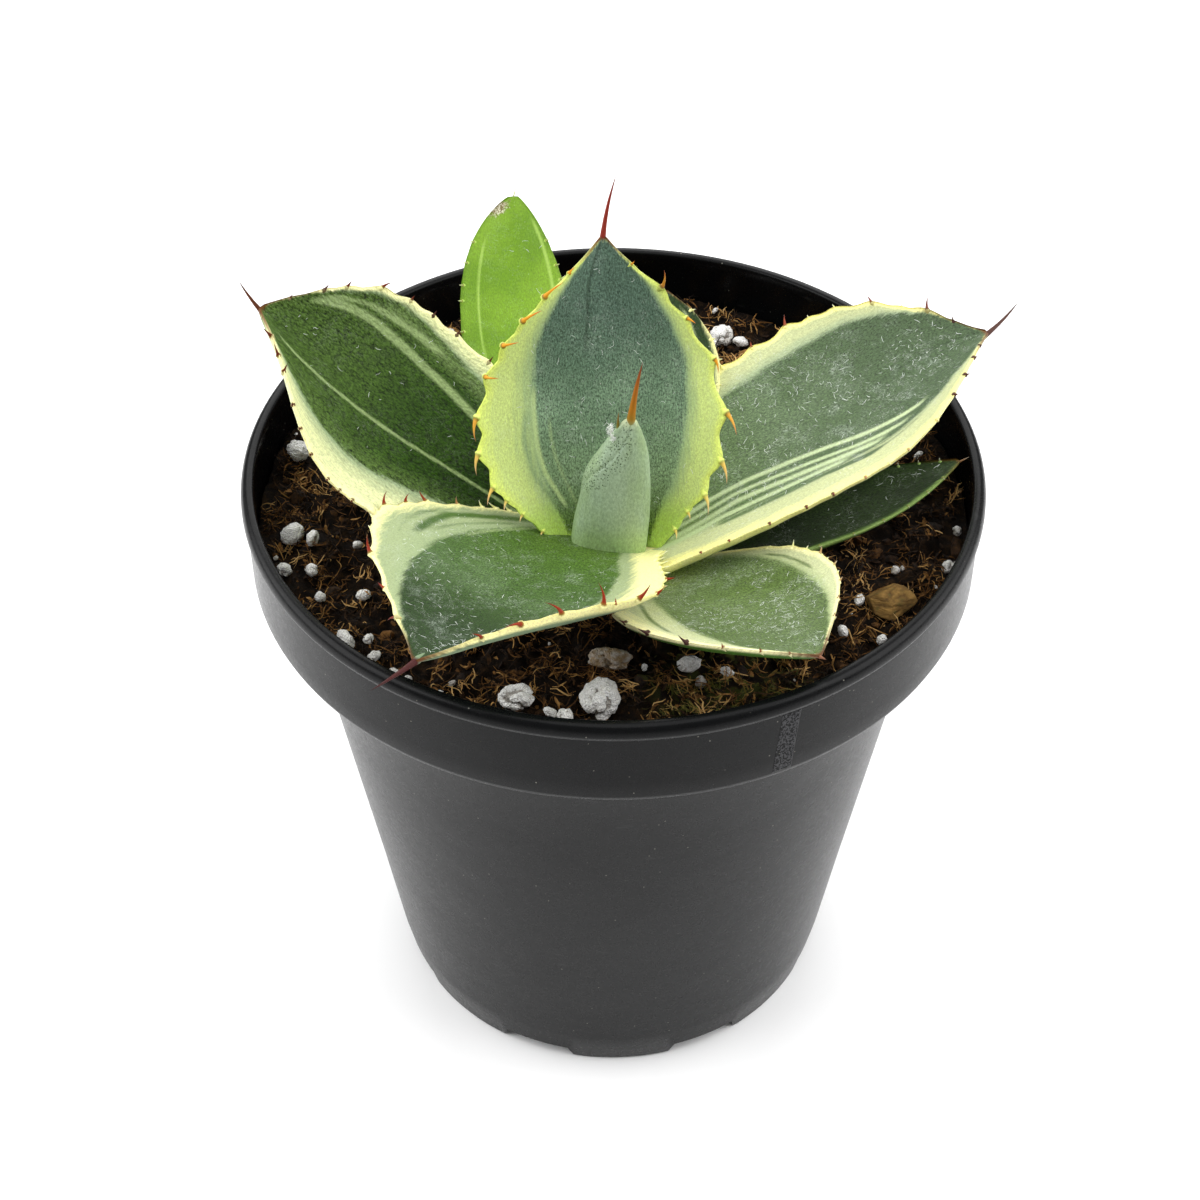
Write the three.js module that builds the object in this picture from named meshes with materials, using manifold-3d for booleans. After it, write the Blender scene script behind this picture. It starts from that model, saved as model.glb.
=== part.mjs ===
// A variegated artichoke agave in a round nursery pot, in millimetres with +Z up.
// The pot's axis is the Z axis and its feet stand on z = 0.
import * as THREE from "three";
import { mergeVertices } from "three/addons/utils/BufferGeometryUtils.js";
import Module from "manifold-3d";

const wasm = await Module();
wasm.setup();

// Clearance between pieces that touch
const SEAT_GAP = 0.3;

// Pot
const POT_HEIGHT = 138.7;
const LIP_RADIUS = 76;
const LIP_WIDTH = 2.8;
const LIP_DEPTH = 3.4;
const LIP_ROUND = 0.8;
const BAND_RADIUS = 75.4;
const BAND_EDGE_ROUND = 0.5;
const BAND_FOOT_Z = 118.4;
const SHOULDER_DROP = 1;
const WALL = 1.6;
const WALL_TOP_RADIUS = 67.1;
const WALL_FOOT_RADIUS = 51.6;
const FLOOR_RADIUS = 49;
const CHAMFER_HEIGHT = 10;
const FOOT_OUTER_RADIUS = 49.8;
const FOOT_INNER_RADIUS = 42;
const FOOT_HEIGHT = 3.6;
const FOOT_COUNT = 8;
const FOOT_ANGLE = 26;
const FRONT_FOOT_AT = -87;
const PAD_RADIUS = 14;
const DRAIN_WIDTH = 8;
const DRAIN_LENGTH = 6;
const DRAIN_INNER_RADIUS = 40;
const OVERCUT = 1;
const GAP_ARC_STEPS = 3;
const ROUND_SEGMENTS = 56;

// Soil
const SOIL_LEVEL = 126.7;
const SOIL_RINGS = 8;
const SOIL_SWELL = 1.3;
const CRUMB_COUNT = 24;
const CRUMB_SEED = 7;
const CRUMB_RADII = [1.1, 2.3];
const STICK_COUNT = 16;
const STICK_SEED = 19;
const STICK_LENGTHS = [4, 9];
const STICK_WIDTHS = [0.8, 1.6];
const STICK_THICKNESS = 1.2;
const STICK_TILT = 0.35;
const SCATTER_RADII = [13, 67];

// Plant: the crown's place in the soil, and the stem that carries the leaves
const CROWN_X = 0;
const CROWN_Y = -19;
const STEM_RADIUS = 8.5;
const STEM_TOP_RADIUS = 3.2;
const STEM_TOP_Z = 4.2;
const STEM_SHOULDER_Z = 1.5;
const ROOT_RADIUS = 6;
const ROOT_DEPTH = 20;
const STEM_SEGMENTS = 16;

// Leaf blades: rows from base to tip, columns from the midrib to each margin, and the length of
// the root that runs back into the stem
const BLADE_ROWS = 14;
const BLADE_COLUMNS = 4;
const BLADE_ROOT = 7;
const ROW_CROWDING = 1.15;
const MIDRIB_STEPS = 48;
const BOW_STEPS = 8;
const BOW_GROWTH = 1.3;
const FOLD_FROM = 0.55;
const TIP_HALF_WIDTH = 0.4;
const MIDRIB_THICKNESS = 4.8;
const MIDRIB_TIP_THICKNESS = 2.4;
const MARGIN_THICKNESS = 1.5;
const THINNING = 3;
const SPINE_RADIUS = 1.1;
const SPINE_SUNK = 4;
const SPINE_SIDES = 6;
const BENT_CONE_STAGES = 4;

// Marginal teeth: flattened cones that lean back near the base and forward near the tip
const TOOTH_RADIUS = 1.3;
const TOOTH_SUNK = 1.1;
const TOOTH_SIDES = 3;
const TOOTH_FLATNESS = 0.35;
const TOOTH_CLEARANCE = 0.5;
const TOOTH_LEAN_BASE = -50;
const TOOTH_LEAN_TIP = 40;
const TOOTH_LEAN_SPREAD = 16;

// Angles are in degrees. heading turns from +X towards +Y, rise is above the horizontal, and turn,
// lift and twist are their change from base to tip. Widths at each side follow leftShare.
const LEAVES = [
  {
    name: "leaf_centre_back",
    colour: 0x6f8c7a,
    base: [0.8, 2, 4],
    heading: 95,
    turn: 3,
    rise: 63,
    lift: 3,
    length: 62,
    width: 50,
    widest: 0.38,
    neck: 0.41,
    roll: -6,
    twist: 3,
    cup: 51,
    curlLeft: 38,
    curlRight: 26,
    fold: 16,
    leftShare: 1.1,
    endBow: 2.45,
    endPull: 1.19,
    spine: { length: 12, side: -18, up: 9 },
    teeth: { count: 10, first: 0.1, last: 0.93, left: 3.2, right: 3.2 },
  },
  {
    name: "leaf_front_left",
    colour: 0x64815a,
    base: [-3.8, -1.5, 6.7],
    heading: 240,
    turn: 4,
    rise: 27,
    lift: -12,
    length: 70,
    width: 59,
    widest: 0.45,
    neck: 0.47,
    roll: 3,
    twist: -7,
    cup: 18,
    curlLeft: 58,
    curlRight: 17,
    fold: 1,
    leftShare: 0.92,
    endBow: 1.48,
    endPull: 1.11,
    spine: { length: 12, side: -8, up: -1 },
    teeth: { count: 9, first: 0.12, last: 0.9, left: 4.2, right: 3.2 },
  },
  {
    name: "leaf_right",
    colour: 0x6b8464,
    base: [4.9, 3.9, 4],
    heading: 25,
    turn: -2,
    rise: 23,
    lift: -6,
    length: 83,
    width: 50,
    widest: 0.56,
    neck: 0.58,
    roll: 0,
    twist: -5,
    cup: 36,
    curlLeft: 23,
    curlRight: 24,
    fold: 14,
    leftShare: 1,
    endBow: 2.69,
    endPull: 1.27,
    spine: { length: 9.5, side: 23, up: 6 },
    teeth: { count: 11, first: 0.22, last: 0.93, left: 2.2, right: 1.8 },
  },
  {
    name: "leaf_left",
    colour: 0x3f6b38,
    base: [-8.3, 3, 3],
    heading: 157,
    turn: 2,
    rise: 27,
    lift: 8,
    length: 78,
    width: 51,
    widest: 0.57,
    neck: 0.44,
    roll: -7,
    twist: 4,
    cup: 24,
    curlLeft: 26,
    curlRight: 25,
    fold: 24,
    leftShare: 1.08,
    endBow: 2.45,
    endPull: 1.03,
    spine: { length: 6, side: -17, up: 7 },
    teeth: { count: 10, first: 0.25, last: 0.93, left: 2, right: 1.3 },
  },
  {
    name: "leaf_front_right",
    colour: 0x6c8763,
    base: [4.9, -5.9, 2],
    heading: 310,
    turn: -3,
    rise: 21,
    lift: -1,
    length: 56,
    width: 45,
    widest: 0.47,
    neck: 0.33,
    roll: -10,
    twist: 3,
    cup: 28,
    curlLeft: 38,
    curlRight: 24,
    fold: 2,
    leftShare: 1.04,
    endBow: 2.29,
    endPull: 1.1,
    spine: { length: 1.6, side: 0, up: 0 },
    teeth: { count: 8, first: 0.3, last: 0.9, left: 1.8, right: 2 },
  },
  {
    name: "leaf_back_right",
    colour: 0x68855c,
    base: [3, 7, 1],
    heading: 81,
    turn: 1,
    rise: 28,
    lift: -2,
    length: 57,
    width: 30,
    widest: 0.59,
    neck: 0.6,
    roll: -1,
    twist: 0,
    cup: 31,
    curlLeft: 30,
    curlRight: 31,
    fold: 15,
    leftShare: 1,
    endBow: 2.4,
    endPull: 1.06,
    spine: { length: 5, side: 0, up: 5 },
    teeth: { count: 7, first: 0.35, last: 0.92, left: 1.6, right: 1.6 },
  },
  {
    name: "leaf_back_left",
    colour: 0x8fbf3a,
    base: [-9, 7, 1],
    heading: 107,
    turn: -12,
    rise: 32,
    lift: -2,
    length: 77,
    width: 23,
    widest: 0.53,
    neck: 0.62,
    roll: -3,
    twist: -1,
    cup: 30,
    curlLeft: 27,
    curlRight: 33,
    fold: 14,
    leftShare: 1.2,
    endBow: 2.8,
    endPull: 0.85,
    spine: { length: 2.2, side: 0, up: 20 },
    teeth: { count: 7, first: 0.4, last: 0.92, left: 1.4, right: 1.6 },
  },
  {
    name: "leaf_right_low",
    colour: 0x35562c,
    base: [9, -3, 2],
    heading: 13,
    turn: 11,
    rise: 7,
    lift: 6,
    length: 66,
    width: 17,
    widest: 0.53,
    neck: 0.69,
    roll: -2,
    twist: 0,
    cup: 32,
    curlLeft: 22,
    curlRight: 20,
    fold: 1,
    leftShare: 0.93,
    endBow: 2.25,
    endPull: 1.07,
    spine: { length: 2, side: 0, up: 0 },
    teeth: { count: 8, first: 0.35, last: 0.92, left: 1.2, right: 1.2 },
  },
];

// Furled bud at the crown's centre
const BUD_COLOUR = 0x8aa890;
const BUD_BASE_Z = STEM_TOP_Z + SEAT_GAP;
const BUD_HEIGHT = 33.5;
const BUD_HALF_WIDTH = 7.6;
const BUD_DEPTH_SHARE = 0.66;
const BUD_BASE_SHIFT = -0.9;
const BUD_TIP_SHIFT = 3.3;
const BUD_SPINE_LENGTH = 13.5;
const BUD_SPINE_RADIUS = 1.4;
const BUD_SPINE_SUNK = 3;
const BUD_SEGMENTS = 16;
const INNER_SPINE_LENGTH = 4.5;
const INNER_SPINE_RADIUS = 0.9;
const INNER_SPINE_OFFSET = [-2, 0, -2];

// Loose lumps that lie on the soil: x, y, radius, and how much each is stretched along X, Y and Z
const LUMPS = [
  { name: "perlite_front_large", at: [-2.3, -58.5], radius: 4, stretch: [1, 1.15, 0.9], perlite: true },
  { name: "perlite_front_left", at: [-18, -57.5], radius: 3.4, stretch: [1.1, 0.8, 0.8], perlite: true },
  { name: "perlite_front_long", at: [-0.5, -48.5], radius: 3, stretch: [1.45, 0.8, 0.8], perlite: true },
  { name: "perlite_back_right", at: [24.4, 57.5], radius: 2.8, stretch: [1, 1, 0.9], perlite: true },
  { name: "perlite_left", at: [-67, 14], radius: 2.5, stretch: [1, 1, 0.9], perlite: true },
  { name: "bark_chip", at: [54.3, -31], radius: 5, stretch: [1.05, 0.9, 0.55], perlite: false },
];
const LUMP_ROUGHNESS = 0.22;
const LUMP_SUNK = 0.35;

const PERLITE_COLOUR = 0xe8e4da;
const BARK_COLOUR = 0x8a6a35;
const SOIL_COLOUR = 0x3a2818;
const POT_COLOUR = 0x191b1e;
const STEM_COLOUR = 0x8f9a62;

// A repeatable random draw between 0 and 1
function seededDraw(seed) {
  let state = seed;
  return () => {
    state = (state * 1664525 + 1013904223) % 4294967296;
    return state / 4294967296;
  };
}

function mix(a, b, share) {
  return a + (b - a) * share;
}

function smoothStep(x) {
  const t = THREE.MathUtils.clamp(x, 0, 1);
  return t * t * (3 - 2 * t);
}

// Closed geometry to solid, and back
function solid(geometry) {
  const bare = new THREE.BufferGeometry();
  bare.setAttribute("position", geometry.getAttribute("position").clone());
  bare.setIndex(geometry.index);
  const merged = mergeVertices(bare, 1e-3);
  const faces = merged.index.array;
  const kept = [];
  for (let i = 0; i < faces.length; i += 3) {
    const [a, b, c] = faces.subarray(i, i + 3);
    if (a !== b && b !== c && c !== a) kept.push(a, b, c);
  }
  return new wasm.Manifold(
    new wasm.Mesh({
      numProp: 3,
      vertProperties: merged.getAttribute("position").array,
      triVerts: new Uint32Array(kept),
    }),
  );
}

function geometryOf(made) {
  const { vertProperties, triVerts } = made.getMesh();
  const geometry = new THREE.BufferGeometry();
  geometry.setAttribute("position", new THREE.BufferAttribute(vertProperties, 3));
  geometry.setIndex(new THREE.BufferAttribute(triVerts, 1));
  geometry.computeVertexNormals();
  return geometry;
}

function joined(solids) {
  return solids.reduce((sum, next) => sum.add(next));
}

// Scraps that a cut leaves are dropped
function largestBody(made) {
  return made.decompose().reduce((best, next) => (next.volume() > best.volume() ? next : best));
}

function namedMesh(name, made, colour, roughness) {
  const material = new THREE.MeshStandardMaterial({ color: colour, roughness, metalness: 0 });
  const mesh = new THREE.Mesh(geometryOf(made), material);
  mesh.name = name;
  return mesh;
}

// A profile of [radius, height] points turned about +Z
function turned(profile, segments = ROUND_SEGMENTS) {
  const points = profile.map(([r, z]) => new THREE.Vector2(r, z));
  return new THREE.LatheGeometry(points, segments).rotateX(Math.PI / 2);
}

function potSolid() {
  const floorTop = FOOT_HEIGHT + WALL;
  const lipInner = LIP_RADIUS - LIP_WIDTH;
  const bandInner = BAND_RADIUS - WALL;
  const profile = [
    [0, 0],
    [PAD_RADIUS, 0],
    [PAD_RADIUS, FOOT_HEIGHT],
    [FOOT_INNER_RADIUS, FOOT_HEIGHT],
    [FOOT_INNER_RADIUS, 0],
    [FOOT_OUTER_RADIUS, 0],
    [WALL_FOOT_RADIUS, CHAMFER_HEIGHT],
    [WALL_TOP_RADIUS, BAND_FOOT_Z - SHOULDER_DROP],
    [BAND_RADIUS - BAND_EDGE_ROUND, BAND_FOOT_Z],
    [BAND_RADIUS, BAND_FOOT_Z + BAND_EDGE_ROUND],
    [BAND_RADIUS, POT_HEIGHT - LIP_DEPTH],
    [LIP_RADIUS, POT_HEIGHT - LIP_DEPTH + LIP_ROUND],
    [LIP_RADIUS, POT_HEIGHT - LIP_ROUND],
    [LIP_RADIUS - LIP_ROUND, POT_HEIGHT],
    [lipInner + LIP_ROUND / 2, POT_HEIGHT],
    [lipInner, POT_HEIGHT - LIP_ROUND],
    [bandInner, POT_HEIGHT - LIP_DEPTH],
    [bandInner, BAND_FOOT_Z + WALL],
    [WALL_TOP_RADIUS - WALL, BAND_FOOT_Z - SHOULDER_DROP + WALL],
    [FLOOR_RADIUS, floorTop],
    [0, floorTop],
  ];
  const gapAngle = 360 / FOOT_COUNT - FOOT_ANGLE;
  const cuts = [];
  for (let i = 0; i < FOOT_COUNT; i++) {
    const middle = THREE.MathUtils.degToRad(FRONT_FOOT_AT + (360 / FOOT_COUNT) * (i + 0.5));
    cuts.push(solid(sectorBlock(middle, THREE.MathUtils.degToRad(gapAngle))));
    cuts.push(solid(drainBlock(middle)));
  }
  return solid(turned(profile)).subtract(joined(cuts));
}

// The space between two feet, cut a little past their faces
function sectorBlock(middle, angle) {
  const inner = FOOT_INNER_RADIUS - OVERCUT;
  const outer = WALL_FOOT_RADIUS + OVERCUT;
  const shape = new THREE.Shape();
  shape.absarc(0, 0, outer, middle - angle / 2, middle + angle / 2, false);
  shape.absarc(0, 0, inner, middle + angle / 2, middle - angle / 2, true);
  const block = new THREE.ExtrudeGeometry(shape, {
    depth: FOOT_HEIGHT + OVERCUT,
    bevelEnabled: false,
    curveSegments: GAP_ARC_STEPS,
  });
  return block.translate(0, 0, -OVERCUT);
}

// A drain slot through the floor, between two feet
function drainBlock(middle) {
  const block = new THREE.BoxGeometry(DRAIN_LENGTH, DRAIN_WIDTH, 2 * WALL);
  block.translate(DRAIN_INNER_RADIUS + DRAIN_LENGTH / 2, 0, FOOT_HEIGHT + WALL / 2);
  return block.rotateZ(middle);
}

// Low swells of the soil's top, from waves a few millimetres to a few centimetres long
function soilSwell(x, y) {
  const broad = Math.sin(x / 9 + 1.3) * Math.cos(y / 8 - 0.4);
  const middling = 0.6 * Math.sin(x / 4.1 + y / 5.3) * Math.cos(y / 3.7 - x / 6.1);
  return SOIL_SWELL * (broad + middling);
}

function soilBody() {
  const gap = SEAT_GAP + 0.05;
  const floorTop = FOOT_HEIGHT + WALL + gap;
  const edge = BAND_RADIUS - WALL - gap;
  const profile = [
    [0, floorTop],
    [FLOOR_RADIUS - gap, floorTop],
    [WALL_TOP_RADIUS - WALL - gap, BAND_FOOT_Z - SHOULDER_DROP + WALL + gap],
    [edge, BAND_FOOT_Z + WALL + gap],
  ];
  for (let ring = SOIL_RINGS; ring >= 0; ring--) {
    profile.push([(edge * ring) / SOIL_RINGS, SOIL_LEVEL]);
  }
  const geometry = turned(profile);
  const place = geometry.getAttribute("position");
  for (let i = 0; i < place.count; i++) {
    if (place.getZ(i) > SOIL_LEVEL - 0.5) {
      place.setZ(i, SOIL_LEVEL + soilSwell(place.getX(i), place.getY(i)));
    }
  }
  return solid(geometry);
}

// A place on the soil's top, spread evenly over its ring
function scatterPlace(draw) {
  const radius = mix(...SCATTER_RADII, Math.sqrt(draw()));
  const angle = draw() * 2 * Math.PI;
  return [radius * Math.cos(angle), radius * Math.sin(angle)];
}

// Crumbs of perlite and coir standing up out of the soil
function soilCrumbs() {
  const draw = seededDraw(CRUMB_SEED);
  const crumbs = [];
  for (let i = 0; i < CRUMB_COUNT; i++) {
    const [x, y] = scatterPlace(draw);
    const size = mix(...CRUMB_RADII, draw() * draw());
    const crumb = new THREE.IcosahedronGeometry(size, 0);
    crumb.scale(mix(0.9, 1.5, draw()), 1, mix(0.7, 1, draw()));
    crumb.rotateZ(draw() * Math.PI);
    crumb.translate(x, y, SOIL_LEVEL + soilSwell(x, y) + 0.15 * size);
    crumbs.push(solid(crumb));
  }
  return joined(crumbs);
}

// Short sticks of coir and bark lying half in the soil
function soilSticks() {
  const draw = seededDraw(STICK_SEED);
  const sticks = [];
  for (let i = 0; i < STICK_COUNT; i++) {
    const [x, y] = scatterPlace(draw);
    const length = mix(...STICK_LENGTHS, draw());
    const stick = new THREE.BoxGeometry(length, mix(...STICK_WIDTHS, draw()), STICK_THICKNESS);
    stick.rotateY(mix(-STICK_TILT, STICK_TILT, draw()));
    stick.rotateZ(draw() * Math.PI);
    stick.translate(x, y, SOIL_LEVEL + soilSwell(x, y) + STICK_THICKNESS / 3);
    sticks.push(solid(stick));
  }
  return joined(sticks);
}

// A rough round lump, part sunk in the soil, or grown by swell
function lumpGeometry(lump, swell = 0) {
  const geometry = new THREE.IcosahedronGeometry(lump.radius, 1);
  const place = geometry.getAttribute("position");
  const point = new THREE.Vector3();
  const [sx, sy, sz] = lump.stretch;
  for (let i = 0; i < place.count; i++) {
    point.fromBufferAttribute(place, i);
    const wave = Math.sin(point.x * 1.9 + lump.radius) * Math.cos(point.y * 1.7 - point.z * 1.3);
    const grown = 1 + LUMP_ROUGHNESS * wave + swell / lump.radius;
    place.setXYZ(i, point.x * grown * sx, point.y * grown * sy, point.z * grown * sz);
  }
  const [x, y] = lump.at;
  const height = lump.radius * sz * (1 - LUMP_SUNK);
  return geometry.translate(x, y, SOIL_LEVEL + soilSwell(x, y) + height);
}

// The stem: a root stub below the soil's surface and a low dome that the leaves sit round
function stemGeometry(swell = 0) {
  return turned(
    [
      [0, -ROOT_DEPTH - swell],
      [ROOT_RADIUS - 2 + swell, -ROOT_DEPTH - swell],
      [ROOT_RADIUS + swell, -ROOT_DEPTH + 4],
      [STEM_RADIUS + swell, -2],
      [STEM_RADIUS + swell, STEM_SHOULDER_Z],
      [STEM_TOP_RADIUS + 2 + swell, STEM_TOP_Z - 1 + swell / 2],
      [STEM_TOP_RADIUS + swell, STEM_TOP_Z + swell],
      [0, STEM_TOP_Z + swell],
    ],
    STEM_SEGMENTS,
  );
}

// Half-width of a blade at a share u of its length, as a share of the widest
function bladeOutline(leaf, u) {
  if (u < 0) return leaf.neck;
  if (u < leaf.widest) {
    return leaf.neck + (1 - leaf.neck) * Math.sin((Math.PI / 2) * (u / leaf.widest));
  }
  const past = (u - leaf.widest) / (1 - leaf.widest);
  return Math.max(1 - past ** leaf.endBow, 0) ** leaf.endPull;
}

// The midrib's direction at u, and the directions across the blade and out of its upper face
function bladeFrame(leaf, u) {
  const share = Math.max(u, 0);
  const rise = THREE.MathUtils.degToRad(leaf.rise + leaf.lift * share);
  const heading = THREE.MathUtils.degToRad(leaf.heading + leaf.turn * share);
  const roll = THREE.MathUtils.degToRad(leaf.roll + leaf.twist * share);
  const along = new THREE.Vector3(
    Math.cos(rise) * Math.cos(heading),
    Math.cos(rise) * Math.sin(heading),
    Math.sin(rise),
  );
  const level = new THREE.Vector3(-Math.sin(heading), Math.cos(heading), 0);
  const out = new THREE.Vector3().crossVectors(along, level);
  const across = level.clone().multiplyScalar(Math.cos(roll)).addScaledVector(out, Math.sin(roll));
  out.multiplyScalar(Math.cos(roll)).addScaledVector(level, -Math.sin(roll));
  return { along, across, out };
}

// The midrib's point at u, by adding up short steps along its direction
function midribPoint(leaf, u) {
  const point = new THREE.Vector3(...leaf.base);
  const steps = Math.max(1, Math.round(Math.abs(u) * MIDRIB_STEPS));
  for (let i = 0; i < steps; i++) {
    const { along } = bladeFrame(leaf, (u * (i + 0.5)) / steps);
    point.addScaledVector(along, (u * leaf.length) / steps);
  }
  return point;
}

// A point of the blade's upper face: v is -1 at the right margin, 0 on the midrib, 1 at the left
function bladePoint(leaf, u, v, swell = 0) {
  const { along, across, out } = bladeFrame(leaf, u);
  const side = v < 0 ? -1 : 1;
  const sideShare = side > 0 ? leaf.leftShare : 2 - leaf.leftShare;
  const curl = side > 0 ? leaf.curlLeft : leaf.curlRight;
  const bow = THREE.MathUtils.degToRad(mix(leaf.cup, curl, smoothStep(u)));
  const fold = THREE.MathUtils.degToRad(leaf.fold * smoothStep((u - FOLD_FROM) / (1 - FOLD_FROM)));
  const half = (leaf.width / 2) * bladeOutline(leaf, u) * sideShare + TIP_HALF_WIDTH + swell;
  const point = midribPoint(leaf, u);
  let angle = fold;
  for (let i = 0; i < BOW_STEPS; i++) {
    angle = fold + bow * ((Math.abs(v) * (i + 0.5)) / BOW_STEPS) ** BOW_GROWTH;
    const step = (half * Math.abs(v)) / BOW_STEPS;
    point.addScaledVector(across, side * step * Math.cos(angle));
    point.addScaledVector(out, step * Math.sin(angle));
  }
  const face = out.clone().multiplyScalar(Math.cos(angle));
  face.addScaledVector(across, -side * Math.sin(angle));
  const outward = across.clone().multiplyScalar(side * Math.cos(angle));
  outward.addScaledVector(out, Math.sin(angle));
  if (v === 0) face.copy(out);
  return { point, face, along, outward };
}

function bladeThickness(u, v) {
  const middle = mix(MIDRIB_THICKNESS, MIDRIB_TIP_THICKNESS, THREE.MathUtils.clamp(u, 0, 1));
  return mix(middle, MARGIN_THICKNESS, Math.abs(v) ** THINNING);
}

// A closed blade between an upper and a lower sheet, split into triangles alike on both
function bladeGeometry(leaf, swell = 0) {
  const rows = BLADE_ROWS;
  const columns = 2 * BLADE_COLUMNS;
  const root = BLADE_ROOT / leaf.length;
  const upper = [];
  const lower = [];
  for (let i = 0; i <= rows; i++) {
    const u = i === 0 ? -root : 1 - (1 - (i - 1) / (rows - 1)) ** ROW_CROWDING;
    for (let j = 0; j <= columns; j++) {
      const v = (2 * j) / columns - 1;
      const { point, face } = bladePoint(leaf, u, v, swell);
      upper.push(point.clone().addScaledVector(face, swell));
      lower.push(point.clone().addScaledVector(face, -bladeThickness(u, v) - swell));
    }
  }
  const place = [...upper, ...lower].flatMap((p) => p.toArray());
  const faces = [];
  const width = columns + 1;
  const under = upper.length;
  for (let i = 0; i < rows; i++) {
    for (let j = 0; j < columns; j++) {
      const a = i * width + j;
      const b = a + width;
      faces.push(a, b, a + 1, b, b + 1, a + 1);
      faces.push(a + under, a + 1 + under, b + under, b + under, a + 1 + under, b + 1 + under);
    }
  }
  const border = [];
  for (let i = 0; i < rows; i++) border.push(i * width);
  for (let j = 0; j < columns; j++) border.push(rows * width + j);
  for (let i = rows; i > 0; i--) border.push(i * width + columns);
  for (let j = columns; j > 0; j--) border.push(j);
  border.forEach((a, k) => {
    const b = border[(k + 1) % border.length];
    faces.push(a, a + under, b, b, a + under, b + under);
  });
  const geometry = new THREE.BufferGeometry();
  geometry.setAttribute("position", new THREE.Float32BufferAttribute(place, 3));
  geometry.setIndex(faces);
  return geometry;
}

// A cone from start along direction, its root sunk, its point bent by bend, and pressed flat
// across flat
function thornGeometry(start, direction, length, radius, sunk, sides, bend = null, flat = null) {
  const stages = bend ? BENT_CONE_STAGES : 1;
  const cone = new THREE.ConeGeometry(radius, length + sunk, sides, stages);
  cone.translate(0, (length + sunk) / 2 - sunk, 0);
  const turn = new THREE.Quaternion();
  turn.setFromUnitVectors(new THREE.Vector3(0, 1, 0), direction.clone().normalize());
  const place = cone.getAttribute("position");
  const point = new THREE.Vector3();
  for (let i = 0; i < place.count; i++) {
    point.fromBufferAttribute(place, i);
    const share = Math.max(point.y, 0) / length;
    point.applyQuaternion(turn);
    if (bend) point.addScaledVector(bend, share * share);
    if (flat) point.addScaledVector(flat, (TOOTH_FLATNESS - 1) * point.dot(flat));
    point.add(start);
    place.setXYZ(i, point.x, point.y, point.z);
  }
  return cone;
}

// Teeth lean back towards the base low on the blade and towards the tip high on it. One that
// would reach into taken space is left out.
function toothSolids(leaf, taken) {
  const { count, first, last, left, right } = leaf.teeth;
  const draw = seededDraw(Math.round(leaf.heading));
  const teeth = [];
  for (const side of [-1, 1]) {
    for (let i = 0; i < count; i++) {
      const u = mix(first, last, (i + 0.3 * (draw() - 0.5)) / (count - 1));
      const { point, face, along, outward } = bladePoint(leaf, u, side);
      const leanMiddle = mix(TOOTH_LEAN_BASE, TOOTH_LEAN_TIP, u);
      const lean = THREE.MathUtils.degToRad(leanMiddle + TOOTH_LEAN_SPREAD * (draw() - 0.5));
      const grown = mix(0.65, 1, smoothStep(u * 2.2)) * mix(0.85, 1.15, draw());
      const size = (side > 0 ? left : right) * grown;
      const direction = outward.clone().multiplyScalar(Math.cos(lean));
      direction.addScaledVector(along, Math.sin(lean));
      const start = point.clone().addScaledVector(face, -MARGIN_THICKNESS / 2);
      const tooth = (more) =>
        thornGeometry(
          start,
          direction,
          size + 2 * more,
          TOOTH_RADIUS + more,
          TOOTH_SUNK,
          TOOTH_SIDES,
          null,
          face,
        );
      if (solid(tooth(TOOTH_CLEARANCE)).intersect(taken).volume() > 0) continue;
      teeth.push(solid(tooth(0)));
    }
  }
  return teeth;
}

function spineSolid(leaf) {
  const { along, across, out } = bladeFrame(leaf, 1);
  const side = THREE.MathUtils.degToRad(leaf.spine.side);
  const up = THREE.MathUtils.degToRad(leaf.spine.up);
  const bend = across.clone().multiplyScalar(Math.sin(side) * leaf.spine.length);
  bend.addScaledVector(out, Math.sin(up) * leaf.spine.length);
  const start = midribPoint(leaf, 1).addScaledVector(out, -MARGIN_THICKNESS / 2);
  return solid(
    thornGeometry(start, along, leaf.spine.length, SPINE_RADIUS, SPINE_SUNK, SPINE_SIDES, bend),
  );
}

// A leaf whose base is cut clear of the stem and of the younger pieces inside it
function leafSolid(leaf, keepClear, teeth) {
  const whole = joined([solid(bladeGeometry(leaf)), ...teeth, spineSolid(leaf)]);
  return largestBody(whole.subtract(keepClear));
}

// The bud: a furled leaf with one straight side and one sloped shoulder
function budGeometry(swell = 0) {
  const outline = [
    [0, 0],
    [0.42, 0],
    [0.86, 0.05],
    [1, 0.12],
    [0.94, 0.32],
    [0.83, 0.52],
    [0.69, 0.7],
    [0.5, 0.83],
    [0.27, 0.94],
    [0.16, 0.98],
    [0, 1],
  ];
  const profile = outline.map(([r, z]) => {
    const radius = r * BUD_HALF_WIDTH + (r > 0 ? swell : 0);
    return [radius, z * BUD_HEIGHT + (z > 0.5 ? swell : -swell)];
  });
  const geometry = turned(profile, BUD_SEGMENTS);
  const place = geometry.getAttribute("position");
  for (let i = 0; i < place.count; i++) {
    const share = THREE.MathUtils.clamp(place.getZ(i) / BUD_HEIGHT, 0, 1);
    place.setX(i, place.getX(i) + mix(BUD_BASE_SHIFT, BUD_TIP_SHIFT, share ** 1.3));
    place.setY(i, place.getY(i) * BUD_DEPTH_SHARE);
    place.setZ(i, place.getZ(i) + BUD_BASE_Z);
  }
  return geometry;
}

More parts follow.
